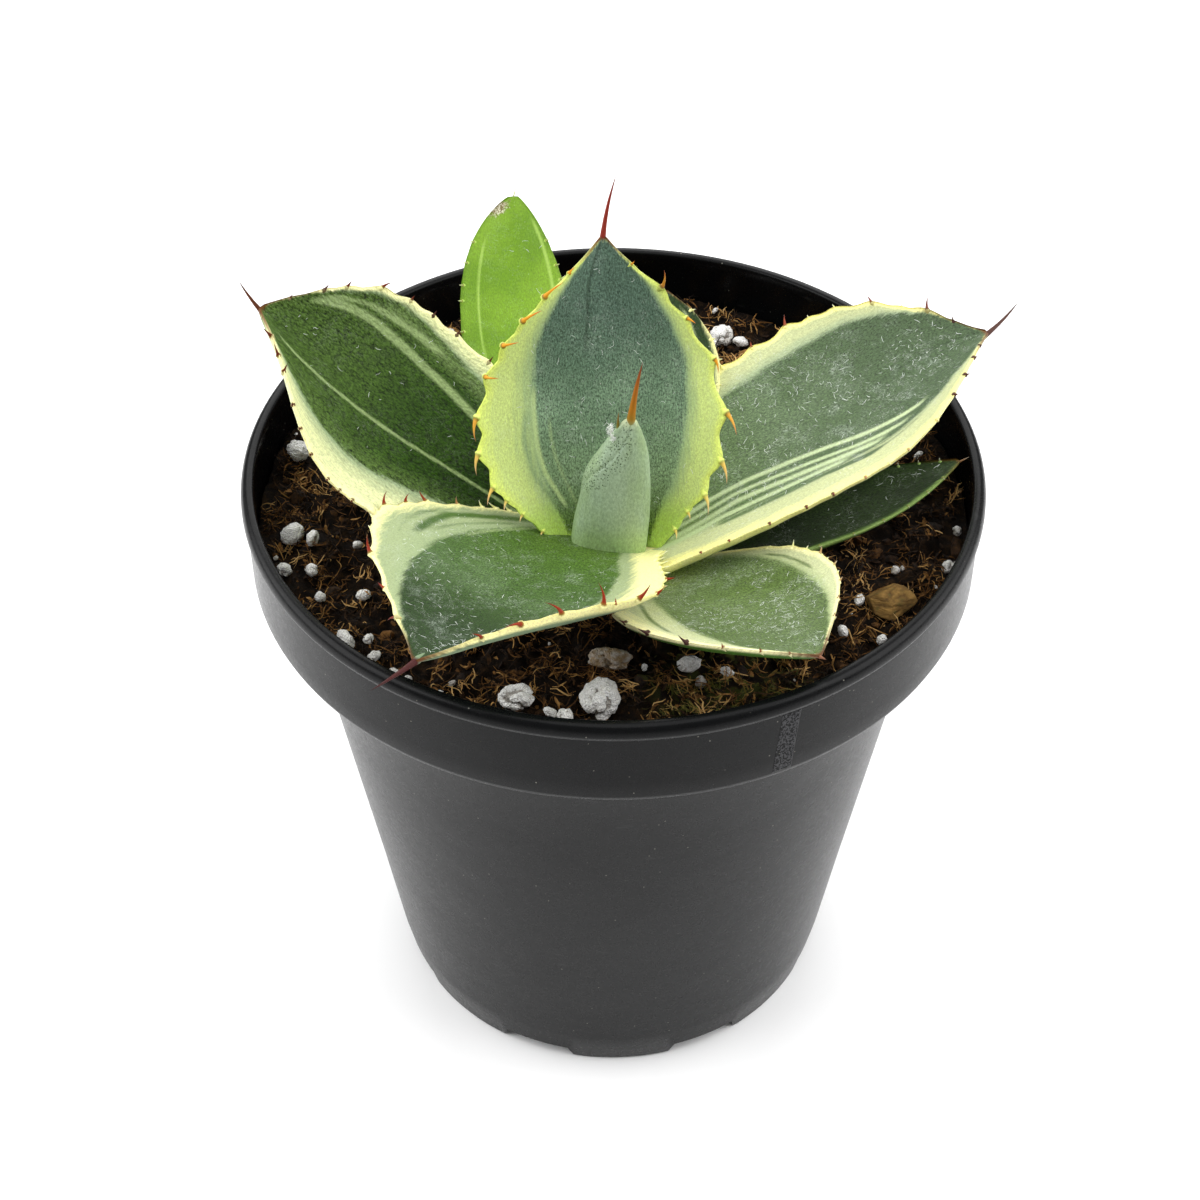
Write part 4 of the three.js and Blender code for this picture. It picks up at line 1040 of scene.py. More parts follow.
def leaf_finish(name, look):
    made = Finish("leaf " + name, look["gloss"], ior=1.45, specular_ior_level=look["shine"])
    at = made.place()
    inside, along, to_rim = made.value("inside_mm"), made.value("along"), made.value("rim_mm")
    broad = made.noise(at, 0.075)
    grain = made.noise(at, 2.6, 3.0, 0.7)
    fine = made.noise(made.along_blade((1.6, 3.6)), 1.0, 3.0, 0.75)
    stray = made.noise(made.along_blade((0.12, 1.3)), 1.0, 3.0, 0.6) - 0.5
    # Green middle
    middle = made.mix(made.ease(broad, 0.35, 0.66), look["middle"], look["middle_2"])
    if "tip" in look:
        middle = made.mix(made.ease(along, 0.42, 0.8), middle, look["tip"])
    if "near_border" in look:
        middle = made.mix(made.ease(inside, 6.5, 0.5), middle, look["near_border"])
    middle = made.mix(made.ease(along, 0.5, 0.12), middle, look["low"])
    middle = made.mix(made.ease(along, 0.22, 0.03), middle, look["foot"])
    # Margin and rim
    warm_side = made.value("side") * math.copysign(1, -look["warm_side"])
    warm = made.ease(warm_side, -0.1, 0.4) * abs(look["warm_side"])
    margin = made.ramp(1.0 - made.value("outer") + stray * 0.45 + warm, [
        (0.0, look["near"]), (0.45, look["margin"]), (0.72, look["margin"]), (1.0, look["rim"])])
    margin = made.mix(made.ease(to_rim + stray, 1.5, 0.2), margin, look["rim"])
    if "margin_foot" in look:
        margin = made.mix(made.ease(along, 0.2, 0.06), margin, look["margin_foot"])
    green = made.ease(inside + stray * 2.4 + (broad - 0.5) * 1.6, -0.75, 0.8)
    colour = made.mix(green, margin, middle)
    streak = made.value("streak") + stray * 0.2
    colour = made.mix(made.ease(streak, 0.1, 0.7), colour, look["pale"])
    colour = made.mix(made.ease(streak, -0.12, -0.8), colour, middle)
    colour = made.mix(made.ease(made.value("crease"), 0.2, 1.0) * 0.5, colour, CREASE_SHADE)
    # Grain of the skin, and painted highlights on its cells, stronger on the green than on the
    # margin and on pale streaks
    tone = grain * 0.45 + fine * 0.65
    reach = (green * look.get("grain", 0.7) + 0.3) * (1.0 - made.ease(streak, 0.05, 0.6) * 0.65)
    cells = made.cells(made.along_blade((0.7, 1.15)), 1.7, "SMOOTH_F1")
    grain_and_highlight = made.span(tone, 0.44, 0.66, -0.62, 0.62) + (0.36 - cells) * (0.6 * look["pebble_and_highlight"])
    colour = made.shaded(colour, grain_and_highlight * reach + 1.0)
    haze = made.ease(made.noise(at, 0.17, 3.0, 0.72), 0.52, 0.78) * made.ease(tone, 0.48, 0.66)
    colour = made.mix(haze * look["bloom"], colour, BLOOM)
    # Short white scuffs in patches, and specks of dust
    patch = made.ease(made.noise(at, 0.1, 2.0), 0.42, 0.58)
    bits = made.ease(made.noise(at, 0.45, 1.0), 0.46, 0.52)
    lines = made.noise(made.place((0.5, 0.5, 0.5)), 1.0, 2.0, 0.6, 2.6)
    scuff = made.ease(abs(lines - 0.5), 0.016, 0.004) * patch * (bits * look["scuff"])
    colour = made.mix(scuff * made.ease(to_rim, 1.0, 3.0), colour, SCUFF_WHITE)
    specks = made.ease(made.cells(at, 0.7), 0.1, 0.06)
    specks = specks * made.ease(made.noise(at, 0.5, 1.0), 0.54, 0.62)
    colour = made.mix(specks * min(1.0, 2 * look["bloom"]), colour, LEAF_DUST)
    if look.get("grazed"):
        healed = made.value("scar") + (made.noise(at, 0.9, 4.0, 0.7) - 0.5) * 1.3
        crust = made.mix(made.ease(grain, 0.5, 0.56), SCAR_BROWN, SCAR_PALE)
        colour = made.mix(made.ease(healed, 0.35, 0.8), colour, crust)
    # Underside and horny rim
    below = made.mix(green, look.get("under_margin", look["under"]), look["under"])
    # The underside takes the grain and the painted cell highlights more faintly
    below = made.shaded(below, grain_and_highlight * 0.35 + 1.0)
    colour = made.mix(made.value("under"), colour, below)
    colour = made.mix(made.value("horn") * look["horn"], colour, HORN)
    # Teeth and end spine, from foot to point
    growth, tint = made.value("thorn"), made.value("tone")
    tooth = made.ramp(growth, [(0.0, look["rim"]), (0.08, (130, 104, 34)), (0.2, look["thorn"]),
                               (0.6, look["thorn"]), (1.0, look["thorn_end"])])
    pale = made.ramp(growth, [(0.0, look["rim"]), (0.4, (232, 232, 150)), (1.0, (238, 240, 214))])
    tooth = made.mix(made.ease(tint, 0.0, -1.0), tooth, pale)
    tooth = made.mix(made.ease(tint, 0.0, 1.0), tooth, DARK_TOOTH)
    end = made.ramp(growth, [(0.0, look["under"]), (0.07, look["spine"]), (0.6, look["spine"]),
                             (1.0, look["spine_end"])])
    thorn = made.mix(made.value("end_spine"), tooth, end)
    colour = made.mix(made.ease(growth, -0.5, -0.1), colour, thorn)
    colour = made.mix(made.value("lint"), colour, LINT_WHITE)
    rough = made.span(tone, 0.35, 0.75, look["gloss"] - 0.06, look["gloss"] + 0.12)
    height = fine * 0.9 + grain * 0.6 - cells * look["pebble_and_highlight"]
    return made.finish(colour, rough, height, 0.24, 0.7)


def bud_piece(spine, finish):
    """The furled leaf at the crown's centre, with its overlapping edge and two spines."""
    heights = [z for r, z in BUD_OUTLINE]
    widths = [r for r, z in BUD_OUTLINE]
    levels = sorted(set(np.linspace(0.06, 0.97, 42).tolist() + heights))
    profile = [(np.interp(z, heights, widths) * BUD_HALF_WIDTH, z * BUD_HEIGHT) for z in levels]
    piece = turned_shell("centre_bud", profile, 96)
    at = places_of(piece) / MM
    share = np.clip(at[:, 2] / BUD_HEIGHT, 0, 1)
    angle = np.arctan2(at[:, 1], at[:, 0])
    # The outer wrap ends in an edge that climbs from the left shoulder round the front to the tip
    seam = np.radians(-172 + 84 * smooth((share - 0.45) / 0.55))
    past = np.mod(angle - seam, 2 * np.pi)
    risen = smooth((share - 0.4) / 0.2)
    wrap = 0.55 * (1 - smooth(past / 0.14)) * risen * (1 - smooth((share - 0.95) / 0.05))
    left = smooth(-np.cos(angle)) * bell((share - 0.6) / 0.12) * 0.9
    radius = np.hypot(at[:, 0], at[:, 1])
    grown = 1 + (left - wrap) / np.maximum(radius, 2)
    at[:, 0] *= grown
    # Flatter in front near the foot
    full = np.maximum(radius, 1e-3)
    round_front = np.abs(at[:, 1]) / (full * grown)
    square = (1 - np.clip(np.abs(at[:, 0]) / (full * grown), 0, 1) ** 4) ** 0.25
    share_square = 0.85 * (1 - smooth((share - 0.05) / 0.35)) * (at[:, 1] < 0)
    at[:, 1] *= grown * BUD_DEPTH_SHARE
    at[:, 1] *= 1 + share_square * (square * 0.86 / np.maximum(round_front, 0.2) - 1)
    at[:, 0] += BUD_SHIFT[0] + (BUD_SHIFT[1] - BUD_SHIFT[0]) * share ** 1.3
    at[:, 2] += BUD_BASE_Z
    set_places(piece, (at + CROWN) * MM)
    shoulder = bell((np.mod(angle - seam + 1.2, 2 * np.pi) - 1.2) / 0.7) * risen
    set_values(piece, speckle=shoulder, along=share, thorn=-1.0)
    use_modifier(piece, "SUBSURF", levels=1, render_levels=1)
    top = CROWN + np.array([BUD_SHIFT[1], 0, BUD_BASE_Z + BUD_HEIGHT - 1.0])
    placed = [bent_thorn(spine, top + spot, np.array(reach), np.array(bend), thick, 1.5)
              for spot, reach, bend, thick in BUD_SPINES]
    shares = np.clip(spine[0][:, 2], 0, 1)
    spines = copies("bud_spines", placed, small=[0.0, 1.0])
    set_values(spines, thorn=np.concatenate([shares, shares]))
    join_into(piece, [spines])
    rounded(piece)
    return belongs(piece, "centre_bud", "bud_green", finish)


def bud_finish():
    made = Finish("furled bud, waxy grey green", 0.5, ior=1.45, specular_ior_level=0.35)
    at = made.place()
    along, growth = made.value("along"), made.value("thorn")
    broad = made.noise(made.place((1, 1, 0.35)), 0.16)
    colour = made.mix(made.ease(broad, 0.3, 0.7), (144, 166, 126), (156, 176, 152))
    colour = made.mix(made.ease(along, 0.35, 0.02), colour, (160, 188, 128))
    colour = made.mix(made.ease(along, 0.93, 1.0), colour, (190, 200, 158))
    grain = made.noise(made.place((1, 1, 0.5)), 2.4, 4.0, 0.75)
    colour = made.shaded(colour, made.span(grain, 0.35, 0.65, 0.76, 1.2))
    dots = made.ease(made.cells(at, 2.1), 0.42, 0.2)
    kept = made.ease(made.value("speckle") + (made.noise(at, 0.6) - 0.5), 0.2, 0.55)
    colour = made.mix(dots * kept * 0.9, colour, (48, 66, 36))
    amber = made.ramp(growth, [(0.0, (140, 138, 84)), (0.08, (150, 112, 30)), (0.2, (166, 106, 14)),
                               (0.6, (160, 90, 14)), (0.85, (128, 58, 18)), (1.0, (88, 38, 20))])
    olive = made.ramp(growth, [(0.0, (150, 156, 90)), (0.4, (118, 104, 36)), (1.0, (124, 84, 44))])
    spines = made.mix(made.value("small"), amber, olive)
    colour = made.mix(made.ease(growth, -0.5, -0.1), colour, spines)
    return made.finish(colour, None, grain, 0.16, 0.6)


def bud_fluff(thread, finish):
    """A small tuft of white down caught beside the small spine."""
    draw = random.Random(23)
    centre = CROWN + np.array([BUD_SHIFT[1] - 3.9, -1.2, BUD_BASE_Z + BUD_HEIGHT - 2.6])
    placed = []
    for i in range(DOWN_COUNT):
        drop = draw.uniform(-1.9, 1.9)
        drift = draw.gauss(0, 0.26) - 0.3 * drop * (drop < 0)
        spread = np.array([drift, draw.gauss(0, 0.25), drop])
        made = fibre_of(thread, draw.uniform(0.5, 1.3), 0.11)
        placed.append((made, random_turn(draw, 80), centre + spread))
    piece = copies("bud_fluff", placed, tone=[draw.random() for thread in placed])
    return belongs(piece, None, "bud_green", finish)


def fluff_finish():
    made = Finish("white down", 0.8)
    colour = made.mix(made.value("tone"), (214, 218, 212), (244, 246, 242))
    return made.finish(colour, None, made.noise(made.place(), 4.0), 0.05, 0.5)


def stem_piece(finish):
    piece = turned_shell("crown_stem", STEM_PROFILE, 48)
    use_modifier(piece, "SUBSURF", levels=1, render_levels=1)
    at = places_of(piece) / MM
    angle = np.arctan2(at[:, 1], at[:, 0])
    ribs = 1 + 0.03 * np.sin(11 * angle + 0.3 * at[:, 2]) * smooth((at[:, 2] + 6) / 4)
    at[:, :2] *= ribs[:, None]
    radius = np.maximum(np.hypot(at[:, 0], at[:, 1]), 1e-6)
    at[:, :2] *= np.minimum(1, STEM_RADIUS / radius)[:, None]
    set_places(piece, (at + CROWN) * MM)
    rounded(piece)
    return belongs(piece, "crown_stem", "stem_green", finish)


def stem_finish():
    made = Finish("stem, fibrous yellow green", 0.7)
    streaks = made.noise(made.place((1, 1, 0.15)), 1.1, 4.0, 0.6)
    stops = [(0.2, (112, 104, 58)), (0.5, (158, 164, 104)), (0.8, (196, 196, 140))]
    colour = made.ramp(streaks, stops)
    return made.finish(colour, None, streaks, 0.3, 0.6)


# Pot
def arc(centre, across, up, turns):
    """Points of a round corner in a profile; turns in degrees, 0 outward and 90 up."""
    return [(centre[0] + across * math.cos(math.radians(turn)),
             centre[1] + up * math.sin(math.radians(turn))) for turn in turns]


def pot_profile():
    """From the pad's edge up the outside, over the lip and down the inside to the floor."""
    lip_foot = POT_HEIGHT - LIP_DEPTH
    lip_inner = LIP_RADIUS - LIP_WIDTH
    band_inner = BAND_RADIUS - WALL
    wall_top = BAND_FOOT_Z - SHOULDER_DROP
    wall_in = WALL_TOP_RADIUS - WALL
    floor_top = FOOT_HEIGHT + WALL
    underside = [
        (PAD_RADIUS - 0.3, 0), (PAD_RADIUS, 0.3), (PAD_RADIUS, FOOT_HEIGHT - 0.3),
        (PAD_RADIUS + 0.3, FOOT_HEIGHT), (FOOT_INNER_RADIUS - 0.3, FOOT_HEIGHT),
        (FOOT_INNER_RADIUS, FOOT_HEIGHT - 0.3), (FOOT_INNER_RADIUS, 0.3),
        (FOOT_INNER_RADIUS + 0.3, 0), (FOOT_OUTER_RADIUS - 0.7, 0),
        (FOOT_OUTER_RADIUS - 0.2, 0.2), (FOOT_OUTER_RADIUS + 0.1, 0.7),
        (WALL_FOOT_RADIUS - 0.08, CHAMFER_HEIGHT - 0.5),
    ]
    wall = [(WALL_FOOT_RADIUS + (WALL_TOP_RADIUS - WALL_FOOT_RADIUS) * share,
             CHAMFER_HEIGHT + (wall_top - CHAMFER_HEIGHT) * share)
            for share in (0, 0.01, 0.25, 0.5, 0.75, 0.985)]
    shoulder = [(WALL_TOP_RADIUS + 0.3, wall_top + 0.05), (BAND_RADIUS - 0.9, BAND_FOOT_Z - 0.14)]
    # The lower edges of band and lip are bevelled
    band = [(BAND_RADIUS - 0.45, BAND_FOOT_Z + 0.1), (BAND_RADIUS - 0.36, BAND_FOOT_Z + 0.3),
            (BAND_RADIUS - 0.08, BAND_FOOT_Z + 1.05), (BAND_RADIUS - 0.03, BAND_FOOT_Z + 1.3),
            (BAND_RADIUS - 0.05, BAND_FOOT_Z + 5), (BAND_RADIUS - 0.05, lip_foot - 1.5),
            (BAND_RADIUS - 0.05, lip_foot - 0.1)]
    lip = [(LIP_RADIUS - 0.32, lip_foot + 0.1), (LIP_RADIUS - 0.25, lip_foot + 0.3),
           (LIP_RADIUS - 0.03, lip_foot + 0.85), (LIP_RADIUS, lip_foot + 1.0)]
    lip += arc((LIP_RADIUS - 1.5, lip_foot + 1.0), 1.5, LIP_DEPTH - 1.0, (15, 30, 45, 60, 75, 90))
    lip += arc((lip_inner + 0.7, POT_HEIGHT - 0.7), 0.7, 0.7, np.linspace(95, 180, 5))
    inner = [
        (lip_inner, lip_foot + 1), (band_inner, lip_foot - 0.4),
        (band_inner, BAND_FOOT_Z + WALL + 0.4), (band_inner - 0.4, BAND_FOOT_Z + WALL),
        (wall_in, wall_top + WALL), (wall_in - 0.15, wall_top), (FLOOR_RADIUS, floor_top + 0.3),
        (FLOOR_RADIUS - 0.6, floor_top), (1, floor_top),
    ]
    return underside + wall + shoulder + band + lip + inner


def gap_corners(cube, middle):
    """A wedge between two feet, a little wider below than above."""
    radius = np.where(cube[:, 0] > 0, WALL_FOOT_RADIUS + 2, FOOT_INNER_RADIUS - 1)
    gap = math.radians(360 / FOOT_COUNT - FOOT_ANGLE)
    spread = gap / 2 + np.where(cube[:, 2] > 0, -0.02, 0.02)
    angle = middle + np.sign(cube[:, 1]) * spread
    height = np.where(cube[:, 2] > 0, FOOT_HEIGHT, -1)
    return np.stack([radius * np.cos(angle), radius * np.sin(angle), height], -1)


def slot_corners(cube, middle):
    """A drain slot through the floor."""
    at = cube * np.array([DRAIN_SIZE[0], DRAIN_SIZE[1], 3 * WALL])
    at += np.array([DRAIN_RADIUS, 0, FOOT_HEIGHT + WALL / 2])
    return at @ about_z(middle).T


def cutters(name, corners):
    """One block between each two feet. corners moves a unit cube's corners there, in mm."""
    blocks = []
    for i in range(FOOT_COUNT):
        deselect()
        bpy.ops.mesh.primitive_cube_add(size=1)
        block = titled(f"{name} {i}")
        middle = math.radians(FRONT_FOOT_AT + 360 / FOOT_COUNT * (i + 0.5))
        set_places(block, corners(places_of(block), middle) * MM)
        blocks.append(facing_out(block))
    return join_into(blocks[0], blocks[1:])


def pot_piece(finish):
    piece = turned_shell("pot", pot_profile(), POT_SEGMENTS)
    for cutter in (cutters("gap", gap_corners), cutters("drain", slot_corners)):
        use_modifier(piece, "BOOLEAN", object=cutter, operation="DIFFERENCE", solver="EXACT")
        bpy.data.objects.remove(cutter)
    # A fine wave, as a thin moulded wall has, that leaves the lip and the feet true
    at = places_of(piece) / MM
    angle = np.arctan2(at[:, 1], at[:, 0])
    free = smooth((at[:, 2] - 8) / 20) * smooth((BAND_FOOT_Z - 6 - at[:, 2]) / 20)
    wave = -0.12 + 0.08 * np.sin(3 * angle + 0.7) + 0.04 * np.sin(7 * angle)
    grown = 1 + free * wave / np.maximum(np.hypot(at[:, 0], at[:, 1]), 1)
    at[:, :2] *= grown[:, None]
    set_places(piece, at * MM)
    take(piece)
    bpy.ops.object.shade_smooth_by_angle(angle=math.radians(38))
    return belongs(piece, "pot", "pot_plastic", finish)


def pot_finish():
    made = Finish("pot, satin black plastic", 0.3, ior=1.23)
    at = made.place()
    x, y, height = made.parts(at)
    colour = made.mix(made.ease(made.noise(at, 0.03, 3.0, 0.6), 0.3, 0.7), (5, 5, 6), (9, 10, 11))
    # Rough grip strip on the band, right of the front
    lip_foot = POT_HEIGHT - LIP_DEPTH
    slope = math.radians(GRIP_STRIP_LEAN) / (POT_HEIGHT - BAND_FOOT_Z)
    lean = (height - (BAND_FOOT_Z + POT_HEIGHT) / 2) * slope
    offset = made.maths("ARCTAN2", y, x) - math.radians(GRIP_STRIP_AT) - lean
    half = math.radians(GRIP_STRIP_ANGLE / 2)
    strip = made.ease(abs(offset), half + 0.002, half - 0.001)
    strip = strip * made.ease(height, BAND_FOOT_Z + 1.2, BAND_FOOT_Z + 1.7)
    strip = strip * made.ease(height, lip_foot - 0.2, lip_foot - 0.6)
    radius = made.far_from(made.place((1, 1, 0)), (0, 0, 0))
    strip = strip * made.ease(radius - BAND_RADIUS, -0.6, -0.3)
    knurl = made.noise(made.place((1, 1, 0.8)), 2.6, 2.0, 0.6)
    knurled = made.mix(made.ease(knurl, 0.46, 0.56), (3, 3, 4), (66, 66, 68))
    colour = made.mix(strip, colour, knurled)
    # Dust specks and faint scuffs
    specks = made.ease(made.cells(at, 0.42), 0.085, 0.035)
    specks = specks * made.ease(made.noise(at, 0.31, 1.0), 0.52, 0.57)
    colour = made.mix(specks, colour, (112, 110, 102))
    rub = made.ease(made.noise(made.place((0.3, 0.3, 1.4)), 0.5, 2.0, 0.7), 0.64, 0.8)
    colour = made.mix(rub * 0.06, colour, (110, 110, 110))
    sheen = made.noise(at, 0.9, 2.0, 0.7)
    rough = made.span(sheen, 0.3, 0.7, 0.25, 0.33) + strip * 0.3
    relief = made.noise(at, 0.05, 2.0) * 2.2 + sheen * 0.05 + knurl * strip * 3.0
    return made.finish(colour, rough, relief, 0.14, 0.6)


# Soil
def soil_swell(x, y):
    broad = np.sin(x / 9 + 1.3) * np.cos(y / 8 - 0.4)
    middling = 0.6 * np.sin(x / 4.1 + y / 5.3) * np.cos(y / 3.7 - x / 6.1)
    return SOIL_SWELL * (broad + middling)


def soil_height(x, y):
    """The bed's top: the swells of the solid, with clods and pits."""
    points = np.stack([x, y, 0 * x], -1)
    clods = 1.9 * waves(points, 8.0, 3, 3.1) + 1.0 * waves(points, 2.4, 3, 7.7)
    edge = 1 - smooth((np.hypot(x, y) - 66) / 8)
    return SOIL_LEVEL + soil_swell(x, y) * 0.9 + clods * (0.4 + 0.6 * edge) - 1.0


def soil_bed(finish):
    cells = SOIL_CELLS
    deselect()
    bpy.ops.mesh.primitive_grid_add(x_subdivisions=cells, y_subdivisions=cells, size=2)
    piece = titled("soil_bed")
    # The grid's square is drawn out to a disc
    flat = places_of(piece)
    x = flat[:, 0] * np.sqrt(1 - flat[:, 1] ** 2 / 2) * SOIL_RADIUS
    y = flat[:, 1] * np.sqrt(1 - flat[:, 0] ** 2 / 2) * SOIL_RADIUS
    set_places(piece, np.stack([x, y, soil_height(x, y)], -1) * MM)
    # The bed's side and foot follow the pot's inner face
    edit_all(piece)
    bpy.ops.mesh.region_to_loop()
    for radius, height in (
        (SOIL_RADIUS, BAND_FOOT_Z + WALL + 0.4),
        (WALL_TOP_RADIUS - WALL - 0.4, BAND_FOOT_Z + WALL - 0.6),
        (FLOOR_RADIUS - 0.2, FOOT_HEIGHT + WALL + 0.4),
    ):
        bpy.ops.mesh.extrude_region_move()
        bpy.ops.object.mode_set(mode="OBJECT")
        ring = np.array([v.select for v in piece.data.vertices])
        at = places_of(piece) / MM
        at[ring, :2] *= radius / np.hypot(at[ring, 0], at[ring, 1])[:, None]
        at[ring, 2] = height
        set_places(piece, at * MM)
        bpy.ops.object.mode_set(mode="EDIT")
    bpy.ops.mesh.edge_face_add()
    bpy.ops.object.mode_set(mode="OBJECT")
    rounded(facing_out(piece))
    return belongs(piece, "soil", "soil_mix", finish)


GROUND_STEP = 1.0
ground_lines = np.arange(-78, 78.5, GROUND_STEP)
ground_x, ground_y = np.meshgrid(ground_lines, ground_lines, indexing="ij")
ground_z = soil_height(ground_x.ravel(), ground_y.ravel()).reshape(ground_x.shape)


def ground(x, y):
    """The bed's height near a place, from a coarse sounding of it."""
    i, j = (int(round((c - ground_lines[0]) / GROUND_STEP)) for c in (x, y))
    return ground_z[i, j]


def soil_spot(draw):
    """A place on the bed, as likely anywhere."""
    radius = (SOIL_RADIUS - 1.5) * math.sqrt(draw.random())
    angle = draw.uniform(0, 2 * math.pi)
    return radius * math.cos(angle), radius * math.sin(angle)


def inside_wall(shape, turn, offset):
    """A copy moved towards the pot's axis, where it would come too near the wall."""
    at = shape[0] @ turn.T + offset
    away = np.hypot(at[:, 0], at[:, 1]).max()
    limit = BAND_RADIUS - WALL - CLEAR_OF_WALL
    if away > limit:
        share = 1 - (away - limit) / away
        offset = offset * np.array([share, share, 1])
    return shape, turn, offset


def fibre_shape(draw, steps, curl, flat):
    """A curled coir fibre one unit long, from a three-sided cylinder bent along X."""
    deselect()
    bpy.ops.mesh.primitive_circle_add(vertices=3, radius=0.5, fill_type="NGON")
    bpy.ops.object.mode_set(mode="EDIT")
    for i in range(steps):
        bpy.ops.mesh.extrude_region_move(TRANSFORM_OT_translate={"value": (0, 0, 1)})
    bpy.ops.object.mode_set(mode="OBJECT")
    places, faces = shape_of(titled("fibre"))
    t = places[:, 2] / steps
    taper = 0.3 + 0.7 * np.sin(np.pi * np.clip(t * 0.9 + 0.05, 0, 1))
    heading = np.cumsum([0.0] + [draw.uniform(-curl, curl) for i in range(steps)])
    pitch = np.cumsum([0.0] + [draw.uniform(-curl, curl) for i in range(steps)])
    line = np.zeros((steps + 1, 3))
    for i in range(steps):
        ahead = [math.cos(heading[i]), math.sin(heading[i]), math.sin(pitch[i])]
        line[i + 1] = line[i] + np.array(ahead) / steps
    step = np.round(places[:, 2]).astype(int)
    side = np.stack([-np.sin(heading[step]), np.cos(heading[step]), 0 * t], -1)
    wide = side * (places[:, 0] * taper)[:, None]
    return (line[step] - line.mean(0), wide, places[:, 1] * taper * flat), faces


def fibre_of(made, length, width):
    """A copy of a fibre with its own length and width in mm, keeping its curl."""
    (line, wide, thick), faces = made
    grown = line * length + wide * width
    grown[:, 2] += thick * width
    return grown, faces


# The soil's loose bits: each is a shape, its turn, its place in mm and its tone
def fibres(draw, threads, count, reach):
    """Bundles of coir fibre that stand up to about reach mm above the bed."""
    for i in range(count):
        x, y = soil_spot(draw)
        heading = draw.uniform(0, 360)
        light = draw.random() ** 2
        rise = draw.uniform(0.1, 0.5 + reach)
        for k in range(draw.randrange(5, 13)):
            made = fibre_of(draw.choice(threads), draw.uniform(1.5, 5.6), draw.uniform(0.12, 0.42))
            facing = heading + draw.gauss(0, 27)
            turn = turned_by(facing, draw.gauss(0, 22), draw.uniform(-180, 180))
            here = x + draw.gauss(0, 1.0), y + draw.gauss(0, 1.0)
            if math.hypot(*here) > SOIL_RADIUS - 1:
                continue
            z = ground(*here) + rise + draw.uniform(-0.6, 0.6)
            yield made, turn, (*here, z), min(1.0, max(0.0, light + draw.gauss(0, 0.2)))


def flakes(draw, shapes, count):
    for i in range(count):
        x, y = soil_spot(draw)
        made = fibre_of(draw.choice(shapes), draw.uniform(1.0, 3.0), draw.uniform(0.4, 1.2))
        z = ground(x, y) + draw.uniform(0.2, 1.3)
        yield made, random_turn(draw, 55), (x, y, z), 0.8 * draw.random() ** 2


def crumbs(draw, level, count, smallest, largest):
    """Rough crumbs of peat; level is how finely they are divided."""
    shapes = [clod_shape(level, 17.3 * i + level) for i in range(SHAPE_COUNT)]
    for i in range(count):
        x, y = soil_spot(draw)
        size = smallest + (largest - smallest) * draw.random() ** 2
        stretch = [draw.uniform(0.8, 1.6), draw.uniform(0.7, 1.1), draw.uniform(0.5, 0.9)]
        turn = random_turn(draw, 40) @ np.diag(stretch) * size
        yield shapes[i % SHAPE_COUNT], turn, (x, y, ground(x, y)), 0.5 * draw.random() ** 2
    if level == CLOD_LEVEL:
        yield shapes[2], np.eye(3) * 1.7, STRAY_CRUMB, 0.6


def clod_shape(level, seed):
    """A rough crumb of peat about two units across."""
    deselect()
    bpy.ops.mesh.primitive_ico_sphere_add(subdivisions=level, radius=1)
    piece = titled("clod")
    ball = places_of(piece)
    grown = 1 + 0.45 * waves(ball * 10, 8.0, 2, seed) + 0.22 * waves(ball * 10, 3.0, 2, seed + 3)
    set_places(piece, ball * grown[:, None])
    return shape_of(piece)


def litter(finish):
    """Bundles of coir fibre, flakes, clods and crumbs over the bed."""
    draw = random.Random(41)
    few = 1.0
    threads = [fibre_shape(draw, 4, 0.8, 1.0) for i in range(12)]
    flat = [fibre_shape(draw, 3, 0.7, 0.45) for i in range(8)]
    for name, bits in (
        ("soil_fibres", fibres(draw, threads, int(BUNDLES * few), 1.6)),
        ("soil_fibres_low", fibres(draw, threads, int(BUNDLES * few), 0.7)),
        ("soil_flakes", flakes(draw, flat, int(FLAKES * few))),
        ("soil_clods", crumbs(draw, CLOD_LEVEL, int(CLODS * few), 0.9, 2.0)),
        ("soil_crumbs", crumbs(draw, 1, int(CRUMBS * few), 0.3, 0.9)),
    ):
        placed = []
        tones = []
        for shape, turn, spot, tone in bits:
            placed.append(inside_wall(shape, turn, np.array(spot)))
            tones.append(tone)
        belongs(copies(name, placed, tone=tones), None, "soil_mix", finish)


def mossy(made, at, colour, reach, patches, strength, green):
    """The colour, with moss in patches round the mossy spot; reach is (none, full) in mm."""
    near = made.ease(made.far_from(at, MOSS_AT), *reach)
    return made.mix(near * patches * strength, colour, green)


def soil_finish():
    made = Finish("potting mix, peat darkened with painted shade", 0.92, specular_ior_level=0.15)
    at = made.place()
    tone = made.noise(at, 0.5, 4.0, 0.7)
    # Peat's dark brown, darkened further by painted shade for the deep gaps under the loose bits
    colour = made.ramp(tone, [(0.3, (8, 5, 3)), (0.5, (22, 14, 7)), (0.74, (60, 42, 23))])
    patches = made.ease(made.noise(at, 0.3), 0.45, 0.6)
    colour = mossy(made, at, colour, (20, 4), patches, 1.0, (58, 64, 22))
    return made.finish(colour, None, made.noise(at, 2.2, 4.0, 0.75), 0.6, 1.0)


def litter_finish():
    made = Finish("coir litter", 0.8, specular_ior_level=0.25)
    at = made.place()
    tone = made.value("tone") + (made.noise(at, 1.1) - 0.5) * 0.7
    colour = made.ramp(tone, [(0.0, (24, 15, 7)), (0.25, (66, 43, 20)), (0.55, (130, 90, 44)),
                              (0.85, (188, 144, 84)), (1.0, (214, 174, 114))])
    patches = made.ease(made.noise(at, 0.35), 0.48, 0.62)
    colour = mossy(made, at, colour, (22, 5), patches, 0.7, (104, 112, 44))
    return made.finish(colour, None, made.noise(at, 3.5, 3.0, 0.7), 0.3, 0.8)


